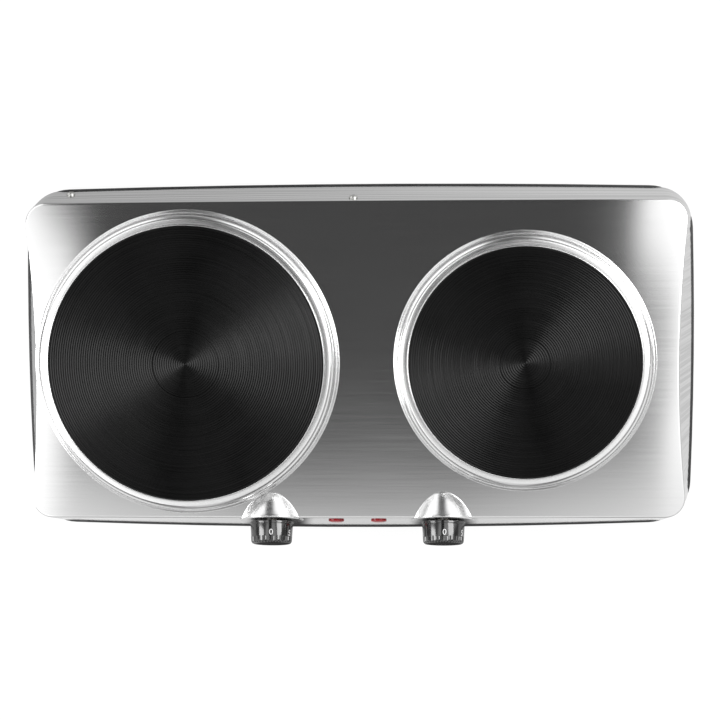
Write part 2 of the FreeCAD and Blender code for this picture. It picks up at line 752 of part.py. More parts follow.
def build_control(side):
    """Make one control: thermostat, spindle, knob and the small parts with them."""
    x = CONTROLS[side]
    bush_top = "pad_rise + bush_reach"
    bore = "spindle_radius + fit_gap"
    wall_in = "pad_rise - sheet_wall"
    case = box(f"{side}_case", "thermostat_x", "thermostat_y", "thermostat_z",
               low=f"{wall_in} - thermostat_z")
    bush = cylinder(f"{side}_bush", "bush_radius", f"{bush_top} - ({wall_in}) + 1", f"{wall_in} - 1")
    tail = f"{wall_in} - spindle_tail"
    tools = [cylinder(f"{side}_bore", bore, f"{bush_top} + 1 - ({tail}) + fit_gap", f"{tail} - fit_gap")]
    for sign in (-1, 1):
        thread = cylinder(f"{side}_thread", "thermostat_screw_radius + fit_gap", "thermostat_screw_length",
                          f"{wall_in} - thermostat_screw_length + 1")
        place(thread, f"{sign} * thermostat_screw_x", "0", f"{wall_in} - thermostat_screw_length + 1")
        tools.append(thread)
        slot = box(f"{side}_tab_slot", "tab_width + 2 * fit_gap", "tab_sheet + 2 * fit_gap", "tab_root + 1",
                   f"{sign} * tab_spacing / 2", "0", f"{wall_in} - thermostat_z - 1")
        tools.append(slot)
    thermostat = cut(f"{side}_thermostat_cut", fuse(f"{side}_case_bush", case, bush), *tools)
    keep(place_on_front(thermostat, x, "knob_depth"), f"{side}_thermostat")

    tabs = []
    for sign in (-1, 1):
        tabs.append(box(f"{side}_tab", "tab_width", "tab_sheet", "tab_root + tab_length",
                        f"{sign} * tab_spacing / 2", "0", f"{wall_in} - thermostat_z - tab_length"))
    keep(place_on_front(group(f"{side}_tabs", *tabs), x, "knob_depth"), f"{side}_thermostat_tabs")

    hub_back = f"{KNOB_BACK} + hub_recess"
    tip = f"{hub_back} + spindle_reach"
    spindle = spindle_solid(f"{side}_spindle_cut", "spindle_radius", tail, tip, hub_back)
    keep(place_on_front(spindle, x, "knob_depth"), f"{side}_spindle")

    flange_top = f"{KNOB_BACK} + knob_flange"
    shell_in = "knob_radius - knob_wall"
    shell = revolved(f"{side}_knob_shell", [
        (shell_in, KNOB_BACK),
        ("knob_radius", KNOB_BACK),
        ("knob_radius", flange_top),
        ("knob_radius - knob_groove", flange_top),
        ("knob_radius - knob_groove", f"{flange_top} + 2 * knob_groove"),
        ("knob_front_radius", f"{KNOB_FRONT} - knob_round"),
        ("knob_front_radius - knob_round", KNOB_FRONT),
        ("0", KNOB_FRONT),
        ("0", hub_back),
        ("hub_radius", hub_back),
        ("hub_radius", f"{tip} + fit_gap"),
        (shell_in, f"{tip} + fit_gap"),
    ], {5: "knob_round * 0.29"})
    grip_sketch = new_sketch(shell, "XY_Plane", f"{side}_grip_outline", KNOB_FRONT)
    circle = grip_sketch.addGeometry(Part.Circle(Vector(value("knob_front_radius"), 0, 0), Vector(0, 0, 1),
                                                 value("grip_radius")), False)
    for axis, formula in (("X", "knob_front_radius"), ("Y", "0")):
        constraint = Sketcher.Constraint(f"Distance{axis}", -1, 1, circle, 3, value(formula))
        name_constraint(grip_sketch, constraint, f"centre_{axis.lower()}", formula)
    radius = Sketcher.Constraint("Radius", circle, value("grip_radius"))
    name_constraint(grip_sketch, radius, "grip", "grip_radius")
    grip = shell.newObject("PartDesign::Pocket", f"{side}_grip")
    grip.Profile = grip_sketch
    bind(grip, Length="grip_length")
    doc.recompute()
    grips = shell.newObject("PartDesign::PolarPattern", f"{side}_grips")
    grips.Originals = [grip]
    grips.Axis = (grip_sketch, ["N_Axis"])
    grips.Angle = 360
    bind(grips, Occurrences="grip_count")
    shell.Tip = grips
    way = spindle_solid(f"{side}_knob_bore", bore, f"{hub_back} - 1", f"{tip} + fit_gap", f"{hub_back} - 1")
    ring_way = cut(f"{side}_spring_way",
                   cylinder(f"{side}_way_out", "hub_radius - spring_sheet", "spring_width", f"{hub_back} + 1"),
                   cylinder(f"{side}_way_in", "hub_radius - 2 * spring_sheet - fit_gap", "spring_width",
                            f"{hub_back} + 1"))
    knob = cut(f"{side}_knob_cut", shell, way, ring_way)
    keep(place_on_front(knob, x, "knob_depth"), f"{side}_knob")

    hoop = cut(f"{side}_hoop",
               cylinder(f"{side}_hoop_out", "hub_radius - spring_sheet - fit_gap", "spring_width",
                        f"{hub_back} + 1"),
               cylinder(f"{side}_hoop_in", "hub_radius - 2 * spring_sheet", "spring_width", f"{hub_back} + 1"),
               box(f"{side}_hoop_slot", "spring_slot", "2 * hub_radius", "spring_width + 2", "0", "hub_radius",
                   hub_back))
    keep(place_on_front(hoop, x, "knob_depth"), f"{side}_knob_spring")

    mark = cone(f"{side}_mark", "index_radius", "index_radius * 0.7", "index_rise")
    depth = "knob_depth - index_depth"
    keep(place_on_front(mark, x, depth, "pad_rise"), f"{side}_index_mark")

    screws = []
    for sign in (-1, 1):
        item = screw(f"{side}_thermostat_screw", "thermostat_screw_head", "thermostat_screw_radius",
                     "thermostat_screw_length - 1.2")
        at = f"{x} + {sign} * thermostat_screw_x"
        screws.append(place_on_front(item, at, "knob_depth", "pad_rise", "270 deg"))
    return screws


def build_lamp(side):
    """Make one indicator lamp: lens, bulb and the clip behind the wall."""
    x = LAMPS[side]
    stem_low = "-sheet_wall - lens_stem"
    bulb_way = "bulb_radius + hole_gap"
    lens = revolved(f"{side}_lens_turn", [
        (bulb_way, stem_low),
        ("lens_stem_radius", stem_low),
        ("lens_stem_radius", "0"),
        ("lens_radius", "0"),
        ("lens_radius", "lens_rim"),
        ("tip_flat", "lens_rim + lens_crown"),
        ("0", "lens_rim + lens_crown"),
        ("0", "lens_rim - lens_wall"),
        (bulb_way, "lens_rim - lens_wall"),
    ], {4: "lens_crown / 3"})
    keep(place_on_front(lens, x, "lamp_depth"), f"{side}_lamp_lens")
    bulb_top = "lens_rim - lens_wall - fit_gap"
    bulb = revolved(f"{side}_bulb_turn", [
        ("0", f"{bulb_top} - bulb_length"),
        ("bulb_radius", f"{bulb_top} - bulb_length"),
        ("bulb_radius", f"{bulb_top} - bulb_radius"),
        ("tip_flat", bulb_top),
        ("0", bulb_top),
    ], {2: "bulb_radius / 4"})
    keep(place_on_front(bulb, x, "lamp_depth"), f"{side}_lamp_bulb")
    clip = tube(f"{side}_clip", "lens_stem_radius + fit_gap", "clip_radius", "-sheet_wall - clip_sheet",
                "-sheet_wall")
    return place_on_front(clip, x, "lamp_depth")


# Wiring

def wire(label, *route):
    """Make an insulated wire along a route of points, its bends tangent arcs of one radius."""
    points = [Vector(*(value(formula) for formula in point)) for point in route]
    bend = value("wire_bend")
    edges = []
    start = points[0]
    for before, corner, after in zip(points, points[1:], points[2:]):
        inward = (corner - before).normalize()
        outward = (after - corner).normalize()
        turn = inward.getAngle(outward)
        reach = bend * math.tan(turn / 2)
        first = corner - inward * reach
        last = corner + outward * reach
        middle = corner + (outward - inward).normalize() * (bend / math.cos(turn / 2) - bend)
        edges.append(Part.LineSegment(start, first).toShape())
        edges.append(Part.Arc(first, middle, last).toShape())
        start = last
    edges.append(Part.LineSegment(start, points[-1]).toShape())
    along = Part.Wire(edges)
    circle = Part.Circle(points[0], points[1] - points[0], value("wire_radius")).toShape()
    obj = doc.addObject("Part::Feature", label)
    obj.Shape = along.makePipeShell([Part.Wire([circle])], True, True)
    return keep(obj, label)


def pin_end(side, sign):
    """Return the lower end of a burner's terminal pin, where its wire is joined."""
    x, y = pin_place(side, sign)
    return x, y, f"{PLATE_BOTTOM} - cover_sheet - block_z - pin_tail"


def tab_end(side, sign, out="0"):
    """Return the end of a thermostat's tab, or a point further in behind it."""
    back = f"pad_rise - sheet_wall - thermostat_z - tab_length - ({out})"
    return (f"{CONTROLS[side]} + {sign} * tab_spacing / 2", *front_point("knob_depth", back))


MAINS_Y = "(plate_line_y + skirt_back_y - mains_inset)"
MAINS_FRONT = f"({MAINS_Y} - mains_width / 2)"


def mains_end(pole):
    """Return where a wire leaves the mains block, poles counted from its middle."""
    return f"mains_x + {pole} * mains_pole", MAINS_FRONT, "wire_low"


def level(point, height):
    """Return a point moved to a height."""
    return point[0], point[1], height


def build_wiring():
    """Make the mains block, the wires to each burner, and the earth joint on the back wall."""
    block = box("mains_block", "mains_length", "mains_width", "mains_height", "mains_x", MAINS_Y,
                "skirt_bottom")
    keep(block, "mains_terminal_block")
    for side, pole, way in (("left", -1, -1), ("right", 1, 1)):
        live = mains_end(pole)
        tab = tab_end(side, -way)
        behind = tab_end(side, -way, "3 * wire_bend")
        live_y = f"plate_line_y - {50 if side == 'left' else 40}"
        wire(f"{side}_live_wire", live, (live[0], live_y, "wire_low"), (behind[0], behind[1], "wire_low"),
             behind, tab)
        tab = tab_end(side, way)
        behind = tab_end(side, way, "3 * wire_bend")
        pin = pin_end(side, -1)
        wire(f"{side}_load_wire", tab, behind, (behind[0], behind[1], "wire_high"), level(pin, "wire_high"), pin)
        neutral = mains_end(2 * pole)
        pin = pin_end(side, 1)
        corner = (neutral[0], pin[1], "wire_low")
        wire(f"{side}_neutral_wire", neutral, corner, level(pin, "wire_low"), pin)

    wall_y, wall_z = back_point("earth_x", "earth_depth")
    earth = screw("earth", "earth_screw_head", "earth_screw_radius", "earth_screw_length")
    keep(place_on_back(earth, "earth_x", "earth_depth"), "earth_screw")
    ring = tube("earth_ring", "earth_screw_radius + fit_gap", "earth_tab_radius", "sheet_wall",
                "sheet_wall + earth_tab_sheet")
    keep(place_on_back(ring, "earth_x", "earth_depth"), "earth_ring_terminal")
    ring_low = f"{wall_z} - earth_tab_radius - hole_gap"
    ring_y = f"{wall_y} + earth_tab_radius * sin({BACK_LEAN}) - sheet_wall - wire_radius - hole_gap"
    block_top = "skirt_bottom + mains_height"
    wire("earth_wire", ("earth_x", ring_y, ring_low), ("earth_x", ring_y, f"{block_top} - wire_bend / 2"),
         ("earth_x", f"{MAINS_Y} + mains_width / 2", f"{block_top} - wire_bend / 2"))


# Base plate and feet

BASE_UNDER = "(skirt_bottom - base_wall)"
BASE_LOW = "(skirt_bottom - base_rim)"
FOOT_FRONT = "plate_line_y - skirt_front_y + foot_inset_y"
FOOT_REAR = "plate_line_y + skirt_back_y - foot_inset_y"
FEET = {
    "front_left": (-1, FOOT_FRONT),
    "front_right": (1, FOOT_FRONT),
    "rear_left": (-1, FOOT_REAR),
    "rear_right": (1, FOOT_REAR),
}


def foot_place(name):
    """Return where a foot stands."""
    sign_x, edge = FEET[name]
    return f"{sign_x} * (skirt_half_x - foot_inset_x)", edge


def base_screw_places():
    """Return where the screws through the base plate into the housing's flange stand."""
    back = "plate_line_y + skirt_back_y - skirt_back_sag - base_screw_inset"
    front = "plate_line_y - skirt_front_y + skirt_front_sag + base_screw_inset"
    return [(f"{sign} * base_screw_spread * skirt_half_x", y) for y in (back, front) for sign in (-1, 0, 1)]


def grommet_place():
    """Return where the cord grommet stands."""
    return "grommet_x", "plate_line_y + skirt_back_y - grommet_inset"


def build_base():
    """Make the base plate, its feet, the grommet, the screws under it and the one behind it."""
    outer = base_block("base_outer", BASE_LOW, "skirt_bottom", "-base_overhang", "base_corner_radius")
    inner = base_block("base_inner", f"{BASE_LOW} - 1", BASE_UNDER, "base_wall - base_overhang",
                       "base_corner_radius - base_wall")
    through = "4 * base_rim"
    tools = [inner]
    for side, (x, _, _, _) in BURNERS.items():
        for step in range(-2, 3):
            vent = box(f"{side}_vent", "vent_width", "vent_length", through, f"{x} + {step} * vent_pitch",
                       "plate_line_y", BASE_LOW)
            tools.append(vent)
    for name in FEET:
        hole = cylinder(f"{name}_hole", "foot_screw_radius + fit_gap", through)
        tools.append(place(hole, *foot_place(name), BASE_LOW))
    for x, y in base_screw_places():
        hole = cylinder("base_screw_hole", "base_screw_radius + hole_gap", through)
        tools.append(place(hole, x, y, BASE_LOW))
    grommet_hole = cylinder("grommet_hole", "grommet_neck + fit_gap", through)
    tools.append(place(grommet_hole, *grommet_place(), BASE_LOW))
    keep(cut("base_cut", outer, *tools), "base_plate")

    foot_screws = []
    for name in FEET:
        block = cone(f"{name}_block", "foot_radius", "foot_top_radius", BASE_UNDER)
        pocket = cylinder(f"{name}_pocket", "foot_pocket_radius", "foot_pocket + 1", "-1")
        hole = cylinder(f"{name}_way", "foot_screw_radius + fit_gap", "4 * foot_pocket")
        foot = cut(f"{name}_cut", block, pocket, hole)
        keep(place(foot, *foot_place(name)), f"{name}_foot")
        item = screw(f"{name}_screw", "foot_screw_head", "foot_screw_radius", "foot_screw_length")
        foot_screws.append(place(item, *foot_place(name), "foot_pocket"))
    keep(group("feet_screws", *foot_screws), "foot_screws")

    base_screws = []
    for x, y in base_screw_places():
        item = screw("base_screw", "base_screw_head", "base_screw_radius", "base_screw_length")
        base_screws.append(place(item, x, y, BASE_UNDER))
    keep(group("plate_screws", *base_screws), "base_screws")

    grommet = revolved("grommet_turn", [
        ("grommet_bore", f"{BASE_UNDER} - grommet_lip"),
        ("grommet_flange", f"{BASE_UNDER} - grommet_lip"),
        ("grommet_flange", BASE_UNDER),
        ("grommet_neck", BASE_UNDER),
        ("grommet_neck", "skirt_bottom"),
        ("grommet_flange", "skirt_bottom"),
        ("grommet_flange", "skirt_bottom + grommet_lip"),
        ("grommet_bore", "skirt_bottom + grommet_lip"),
    ])
    keep(place(grommet, *grommet_place()), "cord_grommet")

    rear = screw("rear", "earth_screw_head", "earth_screw_radius", "earth_screw_length")
    keep(place_on_back(rear, "rear_screw_x", "rear_screw_depth", "2 * fit_gap"), "rear_screw")


def build_housing():
    """Make the pressed housing: skirt and deck, knob domes, collars and all its holes."""
    outer = housing_block("housing_outer", "skirt_bottom", "deck_height", "0", "edge_radius")
    cavity = housing_block("housing_cavity", "skirt_bottom + sheet_wall", "deck_height - sheet_wall",
                           "sheet_wall", "edge_radius - sheet_wall")
    opening = box("flange_opening", "2 * (skirt_half_x - flange_width)",
                  "skirt_back_y + skirt_front_y - 2 * flange_width - skirt_back_sag - skirt_front_sag",
                  "4 * sheet_wall")
    place(opening, "-(skirt_half_x - flange_width)",
          "plate_line_y - skirt_front_y + flange_width + skirt_front_sag", "skirt_bottom - sheet_wall")
    domes = [dome(side, "0", "pad_rise") for side in CONTROLS]
    tools = [cavity, opening]
    for side, x in CONTROLS.items():
        tools.append(dome(side, "sheet_wall", "pad_rise - sheet_wall"))
        tools.append(front_hole(f"{side}_bush_hole", x, "knob_depth", "bush_radius + hole_gap"))
        for sign in (-1, 1):
            at = f"{x} + {sign} * thermostat_screw_x"
            radius = "thermostat_screw_radius + hole_gap"
            tools.append(front_hole(f"{side}_screw_hole", at, "knob_depth", radius))
    for side, x in LAMPS.items():
        tools.append(front_hole(f"{side}_lamp_hole", x, "lamp_depth", "lens_stem_radius + fit_gap"))
    tools.extend(deck_hole(side) for side in BURNERS)
    for x, y in base_screw_places():
        hole = cylinder("flange_hole", "base_screw_radius + fit_gap", "4 * sheet_wall")
        tools.append(place(hole, x, y, "skirt_bottom - sheet_wall"))
    for x, depth in (("earth_x", "earth_depth"), ("rear_screw_x", "rear_screw_depth")):
        hole = cylinder("back_hole", "earth_screw_radius + fit_gap", "4 * sheet_wall")
        tools.append(place_on_back(hole, x, depth, "2 * sheet_wall"))
    shell = cut("housing_shell", fuse("housing_form", outer, *domes), *tools)
    keep(fuse("housing_whole", shell, *(collar(side) for side in BURNERS)), "housing")


build_housing()
build_base()
washers_and_nuts = [build_burner(side) for side in BURNERS]
keep(group("washers", *(washer for washer, _ in washers_and_nuts)), "stud_washers")
keep(group("nuts", *(nut for _, nut in washers_and_nuts)), "stud_nuts")
keep(group("control_screws", *(item for side in CONTROLS for item in build_control(side))), "thermostat_screws")
keep(group("clips", *(build_lamp(side) for side in LAMPS)), "lamp_clips")
build_wiring()
doc.recompute()

# Checks, then one file for each piece

for obj in doc.Objects:
    if "Invalid" in obj.State or "Error" in obj.State:
        raise RuntimeError(f"{obj.Name} failed: {obj.State}")
for obj in NODES:
    if obj.Shape.isNull() or not obj.Shape.isValid():
        raise RuntimeError(f"{obj.Label} has no valid shape")

os.makedirs("parts", exist_ok=True)
for obj in NODES:
    obj.Shape.exportStep(f"parts/{obj.Label}.step")
    print(f"{obj.Label}: {len(obj.Shape.Solids)} solids, {obj.Shape.Volume / 1000:.2f} cm3")
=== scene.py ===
"""Looks of a table-top twin hot plate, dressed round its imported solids.

Sizes are in millimetres in the object's own frame: +X to the right, +Y to the back and +Z up, with the
table at Z = 0. A mesh is scaled to metres when its piece is finished.
"""
import json
import logging
import math
from dataclasses import dataclass
from enum import Enum
from typing import Iterable, Sequence

import bmesh
import bpy
from bmesh.types import BMVert
from bpy.types import Material, Node, NodeSocket, Object
from mathutils import Matrix, Vector


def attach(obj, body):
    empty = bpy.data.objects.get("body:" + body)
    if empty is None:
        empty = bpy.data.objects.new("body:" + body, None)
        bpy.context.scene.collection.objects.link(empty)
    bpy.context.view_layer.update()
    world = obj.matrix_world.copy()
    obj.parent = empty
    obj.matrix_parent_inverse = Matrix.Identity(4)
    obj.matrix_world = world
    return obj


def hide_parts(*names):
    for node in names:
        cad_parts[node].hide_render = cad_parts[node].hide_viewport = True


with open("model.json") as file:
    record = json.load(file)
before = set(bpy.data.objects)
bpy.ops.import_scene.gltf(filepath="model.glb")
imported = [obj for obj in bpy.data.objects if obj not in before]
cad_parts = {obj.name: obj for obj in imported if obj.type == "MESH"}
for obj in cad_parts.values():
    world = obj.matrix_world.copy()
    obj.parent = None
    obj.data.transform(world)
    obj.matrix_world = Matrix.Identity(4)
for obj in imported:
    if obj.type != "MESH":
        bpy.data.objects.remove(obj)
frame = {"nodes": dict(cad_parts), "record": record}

MM = 0.001
FULL_TURN = 2.0 * math.pi
CASE = "case"
Span = tuple[float, float]

log = logging.getLogger("hot_plate")


class Side(Enum):
    """The two halves of the hot plate, seen from the front."""

    LEFT = "left"
    RIGHT = "right"

    @property
    def sign(self) -> int:
        """Give the sign of X on this side."""
        return -1 if self is Side.LEFT else 1


class Wall(Enum):
    """The two long walls, each with the way it faces along Y."""

    FRONT = -1
    BACK = 1


@dataclass(frozen=True)
class Layout:
    """Levels and lines that several sub-assemblies share."""

    deck: float = 58.0
    skirt_bottom: float = 9.2
    line_y: float = 5.0
    deck_front: float = 106.5
    deck_back: float = 108.1
    skirt_front: float = 121.3
    skirt_back: float = 116.8
    plate_top: float = 69.5
    seat: float = 59.0
    plate_spacing: float = 227.0
    knob_x: float = 58.6
    knob_depth: float = 10.0

    def on_wall(self, wall: Wall, x: float, depth: float, sunk: float = 0.0) -> Matrix:
        """Find the place on a wall whose Z points out of the wall.

        Args:
            wall: The wall.
            x: Distance to the right of the middle.
            depth: Distance down the wall from its upper fold.
            sunk: Distance that the wall's bow takes it in.

        Returns:
            The place as a matrix.
        """
        front = wall is Wall.FRONT
        fold, foot = (self.deck_front, self.skirt_front) if front else (self.deck_back, self.skirt_back)
        lean = math.atan2(foot - fold, self.deck - self.skirt_bottom)
        spot = Vector((x, self.line_y + wall.value * (fold + depth * math.sin(lean) - sunk),
                       self.deck - depth * math.cos(lean)))
        return Matrix.Translation(spot) @ Matrix.Rotation(wall.value * (lean - math.pi / 2.0), 4, "X")


LAYOUT = Layout()


class Blank:
    """A mesh that is being shaped, in millimetres."""

    def __init__(self) -> None:
        """Start with an empty mesh."""
        self.bm = bmesh.new()

    def run(self, points: Iterable[Sequence[float]], closed: bool = False) -> list[BMVert]:
        """Join points with a run of edges.

        Args:
            points: Corners of the run.
            closed: Whether the last point joins the first.

        Returns:
            The corners.
        """
        corners = [self.bm.verts.new(point) for point in points]
        ends = corners[1:] + (corners[:1] if closed else [])
        for first, second in zip(corners, ends):
            self.bm.edges.new((first, second))
        return corners

    def round_off(self, corners: list[BMVert], size: float, segments: int = 4) -> None:
        """Round corners of a run of edges, each from a distance before it."""
        bmesh.ops.bevel(self.bm, geom=corners, offset=size, offset_type="OFFSET", segments=segments,
                        profile=0.5, affect="VERTICES", material=-1, clamp_overlap=True)

    def nearest(self, point: Sequence[float]) -> BMVert:
        """Find the vertex nearest a point."""
        return min(self.bm.verts, key=lambda vert: (vert.co - Vector(point)).length)

    def section(self, rows: Sequence[tuple[float, float, float]], segments: int = 4) -> list[BMVert]:
        """Draw half of a turned form's section, from the axis or as a closed outline.

        Args:
            rows: Radius, height and size of the round of each corner.
            segments: Edges in each round.

        Returns:
            The points of the section.
        """
        before = set(self.bm.verts)
        on_axis = rows[0][0] == 0.0 and rows[-1][0] == 0.0
        self.run([(radius, 0.0, height) for radius, height, _ in rows], closed=not on_axis)
        for size in sorted({row[2] for row in rows if row[2] > 0.0}):
            picked = [self.nearest((radius, 0.0, height))
                      for radius, height, rounded in rows if rounded == size]
            self.round_off(picked, size, segments)
        return [vert for vert in self.bm.verts if vert not in before]

    def turn(self, points: list[BMVert], steps: int) -> list[BMVert]:
        """Turn a section about Z into a closed form that faces outwards.

        Args:
            points: The points of the section.
            steps: Steps in the full turn.

        Returns:
            The vertices of the form.
        """
        before = set(self.bm.verts) - set(points)
        edges = {edge for point in points for edge in point.link_edges}
        bmesh.ops.spin(self.bm, geom=points + list(edges), cent=(0, 0, 0), axis=(0, 0, 1), dvec=(0, 0, 0),
                       angle=FULL_TURN, steps=steps, use_merge=True, use_normal_flip=False,
                       use_duplicate=False)
        made = [vert for vert in self.bm.verts if vert not in before]
        bmesh.ops.remove_doubles(self.bm, verts=made, dist=1e-4)
        made = [vert for vert in self.bm.verts if vert not in before]
        faces = {face for vert in made for face in vert.link_faces}
        bmesh.ops.recalc_face_normals(self.bm, faces=list(faces))
        return made

    def place(self, spot: Matrix) -> "Blank":
        """Move the mesh to a place and give the blank back."""
        bmesh.ops.transform(self.bm, matrix=spot, verts=self.bm.verts[:])
        return self

    def take_in(self, other: "Blank", spot: Matrix | None = None) -> None:
        """Add a copy of another blank's mesh.

        Args:
            other: The blank to copy.
            spot: Place of the copy, or None to leave it where it is.
        """
        mesh = bpy.data.meshes.new("taken_in")
        other.bm.to_mesh(mesh)
        if spot is not None:
            mesh.transform(spot)
        self.bm.from_mesh(mesh)
        bpy.data.meshes.remove(mesh)

    def carve(self, cutter: "Blank") -> None:
        """Cut the shape of another blank out of this one.

        Args:
            cutter: The shape to cut out.
        """
        made = []
        for blank in (self, cutter):
            mesh = bpy.data.meshes.new("carving")
            blank.bm.to_mesh(mesh)
            made.append(bpy.data.objects.new("carving", mesh))
            bpy.context.scene.collection.objects.link(made[-1])
        cut = made[0].modifiers.new("cut", "BOOLEAN")
        cut.operation = "DIFFERENCE"
        cut.solver = "EXACT"
        cut.object = made[1]
        shaped = bpy.data.meshes.new_from_object(made[0].evaluated_get(bpy.context.evaluated_depsgraph_get()))
        self.bm.clear()
        self.bm.from_mesh(shaped)
        bpy.data.meshes.remove(shaped)
        for leftover in made:
            mesh = leftover.data
            bpy.data.objects.remove(leftover)
            bpy.data.meshes.remove(mesh)

    def piece(self, name: str, finish: Material, body: str, slot: str, nodes: Sequence[str] = (),
              crease: float = 32.0) -> Object:
        """Finish the mesh as a piece of the object.

        Args:
            name: Name of the piece.
            finish: Its material.
            body: The body it rides on.
            slot: The record's material slot; not used.
            nodes: Nodes that it stands for.
            crease: Angle in degrees above which an edge stays sharp.

        Returns:
            The piece.
        """
        bmesh.ops.scale(self.bm, vec=(MM, MM, MM), verts=self.bm.verts[:])
        mesh = bpy.data.meshes.new(name)
        self.bm.to_mesh(mesh)
        self.bm.free()
        mesh.polygons.foreach_set("use_smooth", [True] * len(mesh.polygons))
        mesh.set_sharp_from_angle(angle=math.radians(crease))
        mesh.materials.append(finish)
        piece = bpy.data.objects.new(name, mesh)
        bpy.context.scene.collection.objects.link(piece)
        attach(piece, body)
        if nodes:
            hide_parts(*nodes)
        log.info("%s: %d faces on %s", name, len(mesh.polygons), body)
        return piece


class Shading:
    """The nodes of one material, world or floor."""

    def __init__(self, tree: bpy.types.NodeTree) -> None:
        """Take over a node tree."""
        self.tree = tree

    @classmethod
    def of_material(cls, name: str) -> tuple["Shading", Material, Node]:
        """Start a material with a Principled shader.

        Args:
            name: Name of the material.

        Returns:
            Its nodes, the material and the shader.
        """
        material = bpy.data.materials.new(name)
        material.use_nodes = True
        return cls(material.node_tree), material, material.node_tree.nodes["Principled BSDF"]

    def add(self, kind: str, inputs: dict[str | int, object] | None = None,
            **settings: object) -> Node:
        """Add a node.

        Args:
            kind: The node's type.
            inputs: Values or outputs of other nodes, by the name or the number of the input.
            settings: The node's own settings.

        Returns:
            The node.
        """
        node = self.tree.nodes.new(kind)
        for name, setting in settings.items():
            setattr(node, name, setting)
        self.dress(node, inputs or {})
        return node

    def dress(self, node: Node, inputs: dict[str | int, object]) -> None:
        """Set or link several inputs of a node."""
        for name, given in inputs.items():
            self.feed(node.inputs[name], given)

    def feed(self, socket: NodeSocket, given: object) -> None:
        """Set an input to a value, or link it to another node's output.

        Args:
            socket: The input.
            given: The value or the output.
        """
        if isinstance(given, NodeSocket):
            self.tree.links.new(given, socket)
        else:
            socket.default_value = given

    def sum(self, operation: str, first: object, second: object = 0.0) -> NodeSocket:
        """Work out one step of arithmetic by a Math node's operation."""
        return self.add("ShaderNodeMath", {0: first, 1: second}, operation=operation).outputs[0]

    def ramp(self, value: object, low: float, high: float, start: object = 0.0, end: object = 1.0,
             smooth: bool = True) -> NodeSocket:
        """Run from one number to another as a value rises.

        Args:
            value: The value.
            low: Where the run starts.
            high: Where the run ends.
            start: Number below the run.
            end: Number above the run.
            smooth: Whether the run eases in and out.

        Returns:
            The number.
        """
        limits = {"Value": value, "From Min": low, "From Max": high, "To Min": start, "To Max": end}
        kind = "SMOOTHSTEP" if smooth else "LINEAR"
        return self.add("ShaderNodeMapRange", limits, interpolation_type=kind).outputs[0]

    def blend(self, share: object, first: object, second: object) -> NodeSocket:
        """Mix two colours by the share of the second one."""
        return self.add("ShaderNodeMix", {0: share, 6: first, 7: second}, data_type="RGBA").outputs[2]

    def noise(self, spot: NodeSocket, scale: Sequence[float], detail: float, rough: float) -> NodeSocket:
        """Make noise of about 0 to 1.

        Args:
            spot: Coordinates.
            scale: Repeats to the metre on each axis.
            detail: Octaves of finer noise.
            rough: Strength of the finer noise.

        Returns:
            The noise.
        """
        spread = self.add("ShaderNodeMapping", {"Vector": spot, "Scale": tuple(scale)}).outputs[0]
        grain = {"Vector": spread, "Scale": 1.0, "Detail": detail, "Roughness": rough}
        return self.add("ShaderNodeTexNoise", grain).outputs["Fac"]

    def object_spot(self) -> NodeSocket:
        """Give the coordinates of the object, in metres."""
        return self.add("ShaderNodeTexCoord").outputs["Object"]

    def bump(self, height: NodeSocket, strength: float, distance: float) -> NodeSocket:
        """Turn heights into the normals of a relief, its distance in metres."""
        relief = {"Height": height, "Strength": strength, "Distance": distance}
        return self.add("ShaderNodeBump", relief).outputs[0]

    def weigh(self, first: NodeSocket, share: float, second: NodeSocket) -> NodeSocket:
        """Add two values by weight, the first one's being a share of 1."""
        rest = self.sum("MULTIPLY", second, 1.0 - share)
        return self.sum("ADD", self.sum("MULTIPLY", first, share), rest)

    def about_axis(self, x: float, y: float) -> tuple[NodeSocket, Node, NodeSocket]:
        """Measure from an upright axis.

        Args:
            x: Place of the axis in millimetres to the right of the middle.
            y: Place of the axis in millimetres to the back.

        Returns:
            Coordinates from the axis, their parts, and the distance from the axis.
        """
        spot = self.add("ShaderNodeMapping", {"Vector": self.object_spot(),
                                              "Location": (-x * MM, -y * MM, 0.0)}).outputs[0]
        parts = self.add("ShaderNodeSeparateXYZ", {"Vector": spot})
        squares = [self.sum("POWER", part, 2.0) for part in parts.outputs[:2]]
        return spot, parts, self.sum("SQRT", self.sum("ADD", *squares))


def grey(level: float, alpha: float = 1.0) -> tuple[float, float, float, float]:
    """Make a neutral colour of one level."""
    return (level, level, level, alpha)


